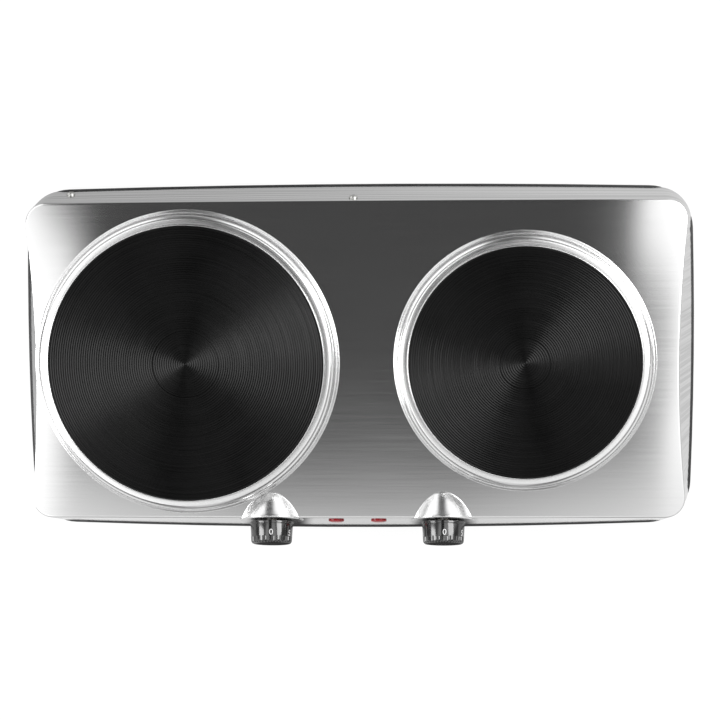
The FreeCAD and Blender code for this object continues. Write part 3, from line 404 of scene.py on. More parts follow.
@dataclass(frozen=True)
class BrushedSteel:
    """Sheet steel with a fine straight grain along its own U axis, and painted reflection streaks on its
    walls.
    """

    name: str = "brushed_sheet_steel"
    dark: float = 0.70
    light: float = 0.74
    smooth: float = 0.065
    rough: float = 0.09
    pull: float = 0.9
    # Range of the painted reflection streaks on the walls, laid over their grain.
    wall_dark: float = 0.76
    wall_light: float = 1.06
    wall_end: float = 0.0555
    deck_start: float = 0.0572

    def material(self) -> Material:
        """Make the material.

        Returns:
            The material.
        """
        nodes, material, shader = Shading.of_material(self.name)
        grain = nodes.add("ShaderNodeUVMap", uv_map="grain").outputs[0]
        broad = nodes.noise(grain, (7.0, 420.0, 1.0), 4.0, 0.6)
        fine = nodes.noise(grain, (22.0, 2600.0, 1.0), 3.0, 0.6)
        cloud = nodes.noise(grain, (9.0, 14.0, 1.0), 2.0, 0.5)
        streaks = nodes.weigh(fine, 0.55, broad)
        # Below the deck the colour is scaled by bands: the brushing grain with painted reflection streaks.
        grain_and_reflection_bands = nodes.noise(grain, (2.5, 330.0, 1.0), 3.0, 0.6)
        height = nodes.add("ShaderNodeSeparateXYZ", {"Vector": nodes.object_spot()}).outputs[2]
        wall = nodes.ramp(height, self.wall_end, self.deck_start,
                          nodes.ramp(grain_and_reflection_bands, 0.4, 0.6, self.wall_dark, self.wall_light), 1.0)
        tone = nodes.blend(nodes.ramp(streaks, 0.3, 0.7), grey(self.dark), grey(self.light))
        shaded = nodes.add("ShaderNodeVectorMath", {"Vector": tone, "Scale": wall}, operation="SCALE")
        worn = nodes.ramp(nodes.weigh(streaks, 0.75, cloud), 0.32, 0.68, self.smooth, self.rough)
        along = nodes.add("ShaderNodeTangent", direction_type="UV_MAP", uv_map="grain")
        nodes.dress(shader, {"Base Color": shaded.outputs[0], "Roughness": worn, "Metallic": 1.0,
                             "Normal": nodes.bump(streaks, 0.02, 0.00003), "Tangent": along.outputs[0],
                             "Anisotropic": self.pull, "Anisotropic Rotation": 0.25})
        return material


@dataclass(frozen=True)
class TurnedSteel:
    """Bright steel with a fine grain that runs round an upright axis."""

    name: str
    x: float
    y: float
    level: float = 0.80
    smooth: float = 0.16
    rough: float = 0.26

    def material(self) -> Material:
        """Make the material.

        Returns:
            The material.
        """
        nodes, material, shader = Shading.of_material(self.name)
        spot, parts, out = nodes.about_axis(self.x, self.y)
        around = nodes.sum("ARCTAN2", parts.outputs[1], parts.outputs[0])
        wrapped = nodes.add("ShaderNodeCombineXYZ", {"X": out, "Y": nodes.sum("SINE", around),
                                                     "Z": parts.outputs[2]}).outputs[0]
        lines = nodes.noise(wrapped, (2400.0, 1.3, 2400.0), 2.0, 0.5)
        haze = nodes.noise(spot, (30.0, 30.0, 30.0), 3.0, 0.5)
        nodes.dress(shader, {
            "Base Color": nodes.blend(lines, grey(self.level - 0.06), grey(self.level + 0.04)),
            "Roughness": nodes.ramp(nodes.weigh(lines, 0.6, haze), 0.3, 0.7, self.smooth, self.rough),
            "Normal": nodes.bump(lines, 0.06, 0.00005), "Metallic": 1.0})
        return material


@dataclass(frozen=True)
class PressedSteel:
    """Sheet steel whose grain is drawn out where the sheet is pressed."""

    name: str = "pressed_sheet_steel"
    level: float = 0.76
    smooth: float = 0.2
    rough: float = 0.27

    def material(self) -> Material:
        """Make the material.

        Returns:
            The material.
        """
        nodes, material, shader = Shading.of_material(self.name)
        streaks = nodes.noise(nodes.object_spot(), (60.0, 1500.0, 1500.0), 3.0, 0.6)
        nodes.dress(shader, {
            "Base Color": nodes.blend(streaks, grey(self.level - 0.03), grey(self.level + 0.03)),
            "Roughness": nodes.ramp(streaks, 0.3, 0.7, self.smooth, self.rough),
            "Normal": nodes.bump(streaks, 0.015, 0.00003), "Metallic": 1.0})
        return material


@dataclass(frozen=True)
class CastIron:
    """Black-coated cast iron, turned in fine rings."""

    name: str
    x: float
    y: float
    dark: float = 0.001
    light: float = 0.0025
    smooth: float = 0.26
    rough: float = 0.36
    gloss: float = 0.17

    def material(self) -> Material:
        """Make the material.

        Returns:
            The material.
        """
        nodes, material, shader = Shading.of_material(self.name)
        spot, _, out = nodes.about_axis(self.x, self.y)
        outward = nodes.add("ShaderNodeCombineXYZ", {"X": out}).outputs[0]
        rings = nodes.noise(outward, (800.0, 1.0, 1.0), 3.0, 0.6)
        grain = nodes.noise(spot, (2600.0, 2600.0, 2600.0), 3.0, 0.6)
        patches = nodes.noise(spot, (40.0, 40.0, 40.0), 3.0, 0.55)
        mixed = nodes.weigh(rings, 0.6, patches)
        nodes.dress(shader, {
            "Base Color": nodes.blend(nodes.ramp(mixed, 0.3, 0.7), grey(self.dark), grey(self.light)),
            "Roughness": nodes.ramp(mixed, 0.35, 0.65, self.smooth, self.rough),
            "Normal": nodes.bump(grain, 0.15, 0.00003), "Specular IOR Level": self.gloss})
        return material


@dataclass(frozen=True)
class Moulding:
    """Plastic, rubber, paint or ceramic of one colour, with a fine skin."""

    name: str
    colour: tuple[float, float, float]
    rough: float = 0.35
    vary: float = 0.12
    skin: float = 1200.0
    relief: float = 0.08
    gloss: float = 0.5
    metal: float = 0.0
    bend: float = 1.5

    def material(self) -> Material:
        """Make the material.

        Returns:
            The material.
        """
        nodes, material, shader = Shading.of_material(self.name)
        spot = nodes.object_spot()
        skin = nodes.noise(spot, (self.skin, self.skin, self.skin), 2.0, 0.5)
        patches = nodes.noise(spot, (60.0, 60.0, 60.0), 3.0, 0.55)
        dark = tuple(part * (1.0 - self.vary) for part in self.colour) + (1.0,)
        light = tuple(part * (1.0 + self.vary) for part in self.colour) + (1.0,)
        nodes.dress(shader, {
            "Base Color": nodes.blend(nodes.ramp(patches, 0.3, 0.7), dark, light),
            "Roughness": nodes.ramp(patches, 0.3, 0.7, self.rough * 0.85, self.rough * 1.15),
            "Normal": nodes.bump(skin, self.relief, 0.00005), "Metallic": self.metal, "IOR": self.bend,
            "Specular IOR Level": self.gloss})
        return material


@dataclass(frozen=True)
class ClearPlastic:
    """Tinted plastic or glass that lets light through."""

    name: str
    colour: tuple[float, float, float]
    through: float = 0.7
    rough: float = 0.08

    def material(self) -> Material:
        """Make the material.

        Returns:
            The material.
        """
        nodes, material, shader = Shading.of_material(self.name)
        haze = nodes.noise(nodes.object_spot(), (300.0, 300.0, 300.0), 2.0, 0.5)
        dark = tuple(part * 0.85 for part in self.colour) + (1.0,)
        nodes.dress(shader, {
            "Base Color": nodes.blend(haze, dark, self.colour + (1.0,)),
            "Roughness": nodes.ramp(haze, 0.3, 0.7, self.rough, self.rough + 0.06),
            "Transmission Weight": self.through, "IOR": 1.49})
        return material


@dataclass
class Housing:
    """The pressed sheet-steel housing: deck, walls, collars round the plates, and knob domes."""

    deck_half_x: float = 222.5
    skirt_half_x: float = 227.9
    deck_side_bow: float = -6.2
    skirt_side_bow: float = 2.5
    deck_front_bow: float = 0.5
    skirt_front_bow: float = 4.6
    deck_back_bow: float = 0.5
    skirt_back_bow: float = 3.0
    deck_corner: float = 15.0
    skirt_corner: float = 22.0
    fold: float = 0.6
    sheet: float = 0.8
    fold_steps: int = 6
    collar_hole: float = 6.5
    collar_in: float = 7.6
    collar_out: float = 9.2
    collar_crest: float = 60.1
    dome_radius: float = 21.8
    dome_back_radius: float = 9.6
    dome_length: float = 26.0
    dome_bulge: float = 1.45
    dome_edge: float = 1.6
    dome_fillet: float = 0.5
    fillet_share: float = 0.8
    fillet_cuts: tuple[float, ...] = (0.0, 0.1, 0.25, 0.5, 0.9)
    dome_sink: tuple[float, float, float] = (0.0, 1.2, -2.4)
    pad_rise: float = 0.6
    round_steps: int = 192
    crease: float = 38.0

    def rim(self, height: float, inset: float) -> Blank:
        """Draw the outline of the housing at one height.

        Args:
            height: Height of the outline.
            inset: Distance that the outline is set in.

        Returns:
            The outline, as a closed run of edges.
        """
        fall = (LAYOUT.deck - height) / (LAYOUT.deck - LAYOUT.skirt_bottom)

        def between(deck: float, skirt: float) -> float:
            """Find a size at this height."""
            return deck + (skirt - deck) * fall

        half = between(self.deck_half_x, self.skirt_half_x) - inset
        side_bow = between(self.deck_side_bow, self.skirt_side_bow)
        front_bow = between(self.deck_front_bow, self.skirt_front_bow)
        back_bow = between(self.deck_back_bow, self.skirt_back_bow)
        front = LAYOUT.line_y - between(LAYOUT.deck_front, LAYOUT.skirt_front) + inset + front_bow
        back = LAYOUT.line_y + between(LAYOUT.deck_back, LAYOUT.skirt_back) - inset - back_bow
        blank = Blank()
        corners = blank.run([(-half, front, height), (half, front, height), (half, back, height),
                             (-half, back, height)], closed=True)
        blank.round_off(corners, between(self.deck_corner, self.skirt_corner) - inset, 14)
        for shortest, cuts in ((300.0, 71), (60.0, 31)):
            sides = [edge for edge in blank.bm.edges if edge.calc_length() > shortest]
            bmesh.ops.subdivide_edges(blank.bm, edges=sides, cuts=cuts)
        middle, reach = (front + back) / 2.0, (back - front) / 2.0
        for vert in blank.bm.verts:
            across, along = vert.co.x / half, (vert.co.y - middle) / reach
            end_bow = back_bow if along > 0.0 else front_bow
            vert.co.x += across * side_bow * (1.0 - along ** 2)
            vert.co.y += along * end_bow * (1.0 - across ** 2)
        return blank

    def shell(self, burners: Sequence["Burner"]) -> Blank:
        """Make the deck and its walls as one folded sheet.

        Args:
            burners: The burners that the deck is open under.

        Returns:
            The sheet.
        """
        blank = Blank()
        bm = blank.bm
        rims = [(LAYOUT.skirt_bottom, 0.0), (LAYOUT.deck - self.fold - 1.2, 0.0)]
        for step in range(self.fold_steps + 1):
            turn = math.pi / 2.0 * step / self.fold_steps
            rims.append((LAYOUT.deck - self.fold * (1.0 - math.sin(turn)),
                         self.fold * (1.0 - math.cos(turn))))
        rims.append((LAYOUT.deck, self.fold + 0.8))
        for height, inset in rims:
            blank.take_in(self.rim(height, inset))
        bm.edges.ensure_lookup_table()
        count = len(bm.edges) // len(rims)
        loops = [bm.edges[start:start + count] for start in range(0, len(bm.edges), count)]
        for low, high in zip(loops, loops[1:]):
            bmesh.ops.bridge_loops(bm, edges=low + high)
        edges = list(loops[-1])
        for burner in burners:
            spot = Matrix.Translation((burner.x, LAYOUT.line_y, LAYOUT.deck))
            ring = bmesh.ops.create_circle(bm, cap_ends=False, radius=burner.radius + self.collar_hole,
                                           segments=self.round_steps, matrix=spot)
            edges += list({edge for vert in ring["verts"] for edge in vert.link_edges})
        bmesh.ops.triangle_fill(bm, use_beauty=True, use_dissolve=False, edges=edges, normal=(0, 0, 1))
        bmesh.ops.recalc_face_normals(bm, faces=bm.faces[:])
        on_deck = [face for face in bm.faces if face.calc_center_median().z > LAYOUT.deck - 0.01]
        top = max(on_deck, key=lambda face: face.calc_area())
        if top.normal.z < 0.0:
            bmesh.ops.reverse_faces(bm, faces=bm.faces[:])
        bmesh.ops.solidify(bm, geom=bm.faces[:], thickness=self.sheet)
        return blank

    def collar(self, burner: "Burner") -> Blank:
        """Make the raised bead of the deck round one plate.

        Args:
            burner: The burner that it goes round.

        Returns:
            The bead.
        """
        blank = Blank()
        inner, outer = burner.radius + self.collar_in, burner.radius + self.collar_out
        blank.turn(blank.section([
            (burner.radius - 2.0, LAYOUT.seat, 0.0), (inner - 0.2, LAYOUT.seat, 0.15),
            (inner, self.collar_crest, 0.7), (outer, self.collar_crest, 0.8),
            (outer + 0.5, LAYOUT.deck + 0.05, 0.7), (outer + 1.6, LAYOUT.deck - 0.02, 0.0),
            (outer + 1.6, LAYOUT.deck - 1.6, 0.0), (burner.radius - 2.0, LAYOUT.deck - 1.6, 0.0),
        ], 6), self.round_steps)
        return blank.place(Matrix.Translation((burner.x, LAYOUT.line_y, 0.0)))

    def dome(self, side: Side) -> Blank:
        """Make the dome and pad that the sheet is pressed to round one knob.

        Args:
            side: Side of the knob.

        Returns:
            The dome, open where it meets the deck and the front wall.
        """
        blank = Blank()
        bm = blank.bm
        rim = (self.dome_radius, self.pad_rise)
        back = (self.dome_back_radius, -self.dome_length)
        start, end = Vector((back[0], 0.0, back[1])), Vector((rim[0], 0.0, rim[1]))
        blank.run([(0.0, 0.0, back[1]), start, end, (0.0, 0.0, rim[1])])
        flank = max(bm.edges, key=lambda edge: edge.calc_length())
        bmesh.ops.subdivide_edges(bm, edges=[flank], cuts=23)
        way = end - start
        outward = Vector((way.z, 0.0, -way.x)).normalized()
        for vert in bm.verts:
            share = (vert.co - start).dot(way) / way.length_squared
            if vert.co.x > back[0] and 0.0 < share < 1.0:
                vert.co += outward * self.dome_bulge * 4.0 * share * (1.0 - share)
        blank.round_off([blank.nearest(end)], self.dome_edge, 6)
        blank.turn(bm.verts[:], 144)
        spot = LAYOUT.on_wall(Wall.FRONT, side.sign * LAYOUT.knob_x, LAYOUT.knob_depth)
        blank.place(spot)
        wall_out = (spot.to_3x3() @ Vector((0.0, 0.0, 1.0))).normalized()
        for rise in self.fillet_cuts:
            bmesh.ops.bisect_plane(bm, geom=bm.verts[:] + bm.edges[:] + bm.faces[:], dist=1e-4,
                                   plane_co=(0.0, 0.0, LAYOUT.deck + rise), plane_no=(0.0, 0.0, 1.0))
        bmesh.ops.bisect_plane(bm, geom=bm.verts[:] + bm.edges[:] + bm.faces[:], dist=1e-4,
                               plane_co=spot.translation, plane_no=wall_out)
        hidden = [face for face in bm.faces if face.calc_center_median().z < LAYOUT.deck
                  and (face.calc_center_median() - spot.translation).dot(wall_out) < 0.0]
        bmesh.ops.delete(bm, geom=hidden, context="FACES")
        bm.normal_update()
        moves = {}
        for vert in bm.verts:
            rise = vert.co.z - LAYOUT.deck
            behind = (vert.co - spot.translation).dot(wall_out) < 0.25
            if behind and rise < self.dome_fillet:
                way = Vector((vert.normal.x, vert.normal.y, 0.0))
                drop = self.dome_fillet - max(rise, 0.0)
                spread = self.dome_fillet - math.sqrt(max(self.dome_fillet ** 2 - drop ** 2, 0.0))
                moves[vert] = way.normalized() * min(spread, self.dome_fillet)
        for vert, move in moves.items():
            vert.co += move * self.fillet_share
        rim_edges = [edge for edge in bm.edges if edge.is_boundary]
        made = bmesh.ops.extrude_edge_only(bm, edges=rim_edges)
        sunk = [item for item in made["geom"] if isinstance(item, BMVert)]
        bmesh.ops.translate(bm, verts=sunk, vec=Vector(self.dome_sink))
        return blank

    def lay_grain(self, blank: Blank) -> None:
        """Lay the grain of the flat sheet over the folded one.

        Args:
            blank: The folded sheet.
        """
        blank.bm.normal_update()
        layer = blank.bm.loops.layers.uv.new("grain")
        for face in blank.bm.faces:
            for loop in face.loops:
                spot, way = loop.vert.co, loop.vert.normal
                fall = max(LAYOUT.deck - spot.z, 0.0)
                loop[layer].uv = ((spot.x + way.x * fall) * MM, (spot.y + way.y * fall) * MM)

    def build(self, burners: Sequence["Burner"]) -> None:
        """Build and dress the housing.

        Args:
            burners: The burners that it carries.
        """
        blank = self.shell(burners)
        for pressed in [self.collar(burner) for burner in burners] + [self.dome(side) for side in Side]:
            for face in pressed.bm.faces:
                face.material_index = 1
            blank.take_in(pressed)
        self.lay_grain(blank)
        finish = BrushedSteel().material()
        sheet = blank.piece("housing_sheet", finish, CASE, "stainless", ["housing"], self.crease)
        sheet.data.materials.append(PressedSteel().material())


@dataclass
class Burner:
    """One cooking plate with its trim band and spill ring."""

    side: Side
    diameter: float
    recess: float
    groove_pitch: float = 1.5
    groove_depth: float = 0.3
    groove_vary: float = 0.08
    recess_depth: float = 0.6
    edge: float = 0.8
    shoulder: float = 59.8
    bottom: float = 50.5
    band_gap: float = 0.05
    band_width: float = 0.85
    band_top: float = 68.3
    ring_gap: float = 0.1
    crest: float = 66.9
    crest_end: float = 4.9
    crest_fall: float = 0.22
    crest_round: float = 1.1
    shoulder_rise: float = 64.9
    shoulder_round: float = 1.2
    foot: float = 7.2
    steps: int = 192
    crease: float = 30.0

    @property
    def radius(self) -> float:
        """Give the radius of the plate."""
        return self.diameter / 2.0

    @property
    def x(self) -> float:
        """Give the plate's place to the right of the middle."""
        return self.side.sign * LAYOUT.plate_spacing / 2.0

    @property
    def spot(self) -> Matrix:
        """Give the place of the plate's axis."""
        return Matrix.Translation((self.x, LAYOUT.line_y, 0.0))

    def cut_grooves(self, blank: Blank, start: float, end: float, top: float) -> None:
        """Cut turned grooves along one straight of the plate's section.

        Args:
            blank: Mesh that holds the section.
            start: Radius where the straight starts.
            end: Radius where the straight ends.
            top: Height of the straight.
        """
        inner, outer = blank.nearest((start, 0.0, top)), blank.nearest((end, 0.0, top))
        straight = next(edge for edge in inner.link_edges if edge.other_vert(inner) == outer)
        count = round((end - start) / self.groove_pitch)
        bmesh.ops.subdivide_edges(blank.bm, edges=[straight], cuts=2 * count - 1)
        for vert in blank.bm.verts:
            if start < vert.co.x < end and abs(vert.co.z - top) < 1e-4:
                turns = (vert.co.x - start) / (end - start) * count
                uneven = 1.0 + self.groove_vary * math.sin(int(turns) ** 2 * 2.4)
                vert.co.z -= self.groove_depth * uneven * (round(2.0 * turns) % 2)

    def plate(self) -> None:
        """Build the cast-iron plate with its grooves and recess."""
        blank = Blank()
        top, low = LAYOUT.plate_top, LAYOUT.plate_top - self.recess_depth
        hub = self.recess / 2.0
        blank.run([
            (0.0, 0.0, low - 0.5), (0.9, 0.0, low), (hub - 0.35, 0.0, low), (hub, 0.0, top),
            (self.radius - self.edge, 0.0, top), (self.radius, 0.0, top - self.edge),
            (self.radius, 0.0, self.shoulder), (self.radius - 3.0, 0.0, self.shoulder),
            (self.radius - 3.0, 0.0, self.bottom), (0.0, 0.0, self.bottom)])
        self.cut_grooves(blank, 0.9, hub - 0.35, low)
        self.cut_grooves(blank, hub, self.radius - self.edge, top)
        blank.turn(blank.bm.verts[:], self.steps)
        blank.place(self.spot)
        name = self.side.value
        finish = CastIron(f"{name}_cast_iron", self.x, LAYOUT.line_y).material()
        blank.piece(f"{name}_cooking_plate", finish, CASE, "cast_iron", [f"{name}_plate"], self.crease)

    def rings(self) -> None:
        """Build the trim band and the spill ring."""
        name = self.side.value
        finish = TurnedSteel(f"{name}_ring_steel", self.x, LAYOUT.line_y).material()
        band_in = self.radius + self.band_gap
        band_out = band_in + self.band_width
        band = Blank()
        band.turn(band.section([
            (band_in, self.shoulder, 0.0), (band_out, self.shoulder, 0.0), (band_out, self.band_top, 0.35),
            (band_in, self.band_top, 0.35)]), self.steps)
        band.place(self.spot)
        band.piece(f"{name}_band", finish, CASE, "bright_steel", [f"{name}_trim_band"])
        wall = band_out + self.ring_gap
        ring = Blank()
        ring.turn(ring.section([
            (self.radius - 2.0, LAYOUT.seat, 0.0), (self.radius + self.foot, LAYOUT.seat, 0.0),
            (self.radius + self.foot, self.shoulder_rise, self.shoulder_round),
            (self.radius + self.crest_end, self.crest - self.crest_fall, self.crest_round),
            (wall, self.crest, 0.25), (wall, self.shoulder, 0.0),
            (self.radius - 2.0, self.shoulder, 0.0)], 8), self.steps)
        ring.place(self.spot)
        ring.piece(f"{name}_ring", finish, CASE, "bright_steel", [f"{name}_spill_ring"])

    def build(self) -> None:
        """Build the burner."""
        self.plate()
        self.rings()


@dataclass
class Control:
    """One knob with its dial numbers."""

    side: Side
    black: Material
    white: Material
    back: float = 1.6
    front: float = 16.6
    flange_radius: float = 14.75
    flange_length: float = 1.6
    body_radius: float = 14.5
    front_radius: float = 13.7
    edge: float = 1.9
    shell: float = 11.9
    crease: float = 35.0
    grip_low: float = 11.9
    grips: int = 36
    grip_cut: float = 0.45
    number_height: float = 5.6
    number_at: float = 9.8
    numbers: int = 6
    number_turn: float = 3.5
    first_step: float = 80.0
    number_step: float = 55.0

    @property
    def spot(self) -> Matrix:
        """Give the place of the knob's axis on the front wall."""
        return LAYOUT.on_wall(Wall.FRONT, self.side.sign * LAYOUT.knob_x, LAYOUT.knob_depth)

    def side_radius(self, out: float) -> float:
        """Find the radius of the knob's side at a distance from the wall."""
        low = self.back + self.flange_length + 0.5
        return self.body_radius + (self.front_radius - self.body_radius) * (out - low) / (self.front - low)

    def knob(self) -> None:
        """Build the knob with its flange, groove and ring of grips."""
        blank = Blank()
        low = self.back + self.flange_length
        blank.turn(blank.section([
            (0.0, 10.6, 0.0), (3.1, 10.6, 0.0), (3.1, self.back + 0.4, 0.0), (4.6, self.back + 0.4, 0.0),
            (4.6, self.front - 2.0, 0.0), (self.shell, self.front - 2.0, 0.0), (self.shell, self.back, 0.0),
            (self.flange_radius, self.back, 0.3), (self.flange_radius, low, 0.3),
            (self.body_radius - 0.7, low, 0.0), (self.body_radius - 0.7, low + 0.5, 0.0),
            (self.body_radius, low + 0.5, 0.15), (self.side_radius(self.grip_low), self.grip_low, 0.0),
            (self.side_radius(self.grip_low + 0.3), self.grip_low + 0.3, 0.0),
            (self.side_radius(self.front - self.edge - 0.2), self.front - self.edge - 0.2, 0.0),
            (self.front_radius, self.front, self.edge), (0.0, self.front, 0.0)], 5), 4 * self.grips)
        step = FULL_TURN / (4 * self.grips)
        for vert in blank.bm.verts:
            out = math.hypot(vert.co.x, vert.co.y)
            column = round(math.atan2(vert.co.y, vert.co.x) / step) % 4
            if column == 0 and out > self.shell + 0.5 and vert.co.z > self.grip_low + 0.1:
                vert.co.x *= (out - self.grip_cut) / out
                vert.co.y *= (out - self.grip_cut) / out
        blank.place(self.spot)
        name = self.side.value
        body = f"{name}_knob"
        blank.piece(f"{name}_dial_knob", self.black, body, "knob_black", [body], self.crease)

    def numeral(self, number: int) -> Blank:
        """Make one dial number, flat and centred.

        Args:
            number: The number.

        Returns:
            The flat number.
        """
        curve = bpy.data.curves.new("numeral", "FONT")
        curve.body = str(number)
        curve.size = self.number_height
        curve.align_x = "CENTER"
        curve.align_y = "CENTER"
        holder = bpy.data.objects.new("numeral", curve)
        bpy.context.scene.collection.objects.link(holder)
        mesh = bpy.data.meshes.new_from_object(holder.evaluated_get(bpy.context.evaluated_depsgraph_get()))
        blank = Blank()
        blank.bm.from_mesh(mesh)
        bpy.data.objects.remove(holder)
        bpy.data.curves.remove(curve)
        bpy.data.meshes.remove(mesh)
        bmesh.ops.remove_doubles(blank.bm, verts=blank.bm.verts[:], dist=1e-4)
        bmesh.ops.dissolve_limit(blank.bm, angle_limit=0.01, verts=blank.bm.verts[:], edges=blank.bm.edges[:])
        bmesh.ops.triangulate(blank.bm, faces=blank.bm.faces[:])
        long_edges = [edge for edge in blank.bm.edges if edge.calc_length() > 0.6]
        bmesh.ops.subdivide_edges(blank.bm, edges=long_edges, cuts=2)
        return blank

    def number_angle(self, number: int) -> float:
        """Find a number's angle on the dial, in degrees from the top."""
        steps = self.first_step + (number - 1) * self.number_step if number else 0.0
        return self.number_turn - steps

    def dial(self) -> None:
        """Build the numbers round the side of the knob."""
        dial = Blank()
        for number in range(self.numbers):
            blank = self.numeral(number)
            for vert in blank.bm.verts:
                out = self.number_at - vert.co.y
                reach = self.side_radius(out) + 0.03
                angle = vert.co.x / reach + math.radians(self.number_angle(number))
                vert.co = Vector((reach * math.sin(angle), reach * math.cos(angle), out))
            dial.take_in(blank)
        dial.bm.normal_update()
        for face in dial.bm.faces:
            middle = face.calc_center_median()
            if face.normal.dot(Vector((middle.x, middle.y, 0.0))) < 0.0:
                face.normal_flip()
        dial.bm.normal_update()
        bmesh.ops.solidify(dial.bm, geom=dial.bm.faces[:], thickness=0.06)
        dial.place(self.spot)
        name = self.side.value
        dial.piece(f"{name}_dial_numbers", self.white, f"{name}_knob", "knob_black")

    def build(self) -> None:
        """Build the control."""
        self.knob()
        self.dial()


@dataclass
class PilotLamp:
    """One red pilot lamp lens in the front wall."""

    side: Side
    finish: Material
    x: float = 14.5
    depth: float = 12.0
    radius: float = 5.3
    rim: float = 0.9
    crown: float = 1.7
    stem: float = 4.2

    def build(self) -> None:
        """Build the lens."""
        name = self.side.value
        blank = Blank()
        blank.turn(blank.section([
            (0.0, -5.0, 0.0), (self.stem, -5.0, 0.2), (self.stem, 0.05, 0.0), (self.radius, 0.05, 0.15),
            (self.radius, self.rim, 0.3), (self.radius * 0.62, self.crown - 0.1, 0.9),
            (0.0, self.crown, 0.0)], 5), 64)
        blank.place(LAYOUT.on_wall(Wall.FRONT, self.side.sign * self.x, self.depth))
        blank.piece(f"{name}_pilot_lens", self.finish, CASE, "lens_red", [f"{name}_lamp_lens"])


@dataclass
class Underside:
    """What the hot plate stands on: feet, grommet and cross-head screws, also behind it."""

    rubber: Material
    zinc: Material
    foot_x: float = 187.9
    foot_front: float = -82.3
    foot_back: float = 87.8
    foot_low: float = 9.0
    foot_high: float = 10.5
    foot_height: float = 8.0
    pocket: float = 4.6
    pocket_depth: float = 4.0
    head_height: float = 2.0
    screw_x: float = 129.9
    screw_front: float = -104.7
    screw_back: float = 111.8
    base_under: float = 8.0
    grommet_x: float = -70.0
    grommet_y: float = 95.8
    earth_at: tuple[float, float, float] = (-0.8, 8.5, 0.0)
    rear_at: tuple[float, float, float] = (-196.0, 33.0, 1.6)
    back_turn: float = 0.4

    def screw(self, head: float, thread: float, length: float) -> Blank:
        """Make one pan-head screw with a cross recess, its head towards +Z.

        Args:
            head: Radius of the head.
            thread: Radius of the thread.
            length: Length below the head.

        Returns:
            The screw.
        """
        blank = Blank()
        blank.turn(blank.section([
            (0.0, -length, 0.0), (thread, -length, 0.3), (thread, 0.0, 0.0), (head, 0.0, 0.1),
            (head, self.head_height * 0.4, 0.3), (head * 0.7, self.head_height, 0.9),
            (0.0, self.head_height, 0.0)], 4), 48)
        for turn in (0.0, math.pi / 2.0):
            arm = Blank()
            bmesh.ops.create_cube(arm.bm, size=1.0)
            bmesh.ops.scale(arm.bm, vec=(head * 0.84, head * 0.17, 2.0), verts=arm.bm.verts[:])
            arm.place(Matrix.Rotation(turn, 4, "Z") @ Matrix.Translation((0.0, 0.0, self.head_height)))
            blank.carve(arm)
        return blank

    def feet(self) -> None:
        """Build the four rubber feet and their screws."""
        screws = Blank()
        screw = self.screw(3.8, 1.95, 6.0)
        for row, y in (("front", self.foot_front), ("rear", self.foot_back)):
            for side in Side:
                x = side.sign * self.foot_x
                foot = Blank()
                foot.turn(foot.section([
                    (self.pocket, 0.0, 0.4), (self.foot_low, 0.0, 0.9),
                    (self.foot_high, self.foot_height - 1.0, 0.3), (self.foot_high, self.foot_height, 0.2),
                    (2.2, self.foot_height, 0.0), (2.2, self.pocket_depth, 0.0),
                    (self.pocket, self.pocket_depth, 0.2)], 5), 72)
                foot.place(Matrix.Translation((x, y, 0.0)))
                name = f"{row}_{side.value}_foot"
                foot.piece(f"{name}_rubber", self.rubber, CASE, "rubber_black", [name])
                down = Matrix.Translation((x, y, self.pocket_depth)) @ Matrix.Rotation(math.pi, 4, "X")
                screws.take_in(screw, down)
        screws.piece("foot_screw_set", self.zinc, CASE, "zinc_steel", ["foot_screws"])

    def base_screws(self) -> None:
        """Build the screws that hold the base plate."""
        screws = Blank()
        screw = self.screw(3.4, 1.65, 6.0)
        for y in (self.screw_front, self.screw_back):
            for x in (-self.screw_x, 0.0, self.screw_x):
                under = Matrix.Translation((x, y, self.base_under))
                screws.take_in(screw, under @ Matrix.Rotation(math.pi, 4, "X"))
        screws.piece("base_screw_set", self.zinc, CASE, "zinc_steel", ["base_screws"])

    def back_screws(self) -> None:
        """Build the earth screw and the low screw in the back wall."""
        for name, (x, depth, sunk) in (("earth", self.earth_at), ("rear", self.rear_at)):
            screw = self.screw(3.0, 1.85, 8.0)
            screw.place(LAYOUT.on_wall(Wall.BACK, x, depth, sunk) @ Matrix.Rotation(self.back_turn, 4, "Z"))
            screw.piece(f"{name}_cross_screw", self.zinc, CASE, "zinc_steel", [f"{name}_screw"])

    def grommet(self) -> None:
        """Build the rubber grommet that a cord would pass through."""
        blank = Blank()
        blank.turn(blank.section([
            (3.8, 6.4, 0.6), (8.5, 6.4, 0.7), (8.5, 8.0, 0.2), (6.0, 8.0, 0.0),
            (6.0, 9.2, 0.0), (8.5, 9.2, 0.2), (8.5, 10.8, 0.7), (3.8, 10.8, 0.6)], 5), 64)
        blank.place(Matrix.Translation((self.grommet_x, self.grommet_y, 0.0)))
        blank.piece("cord_grommet_rubber", self.rubber, CASE, "rubber_black", ["cord_grommet"])

    def build(self) -> None:
        """Build what is under the hot plate."""
        self.feet()
        self.base_screws()
        self.back_screws()
        self.grommet()


@dataclass
class InnerWorks:
    """Nodes that keep their solids and get a finish."""

    def dress(self, finishes: dict[str, Material], plan: dict[str, str]) -> None:
        """Give each node its finish.

        Args:
            finishes: Materials by the record's material slot.
            plan: Material slot of each node.
        """
        for node, slot in plan.items():
            solid = frame["nodes"][node]
            if not solid.material_slots:
                solid.data.materials.append(finishes[slot])
            for holder in solid.material_slots:
                holder.material = finishes[slot]
            log.info("%s: dressed as %s", node, slot)


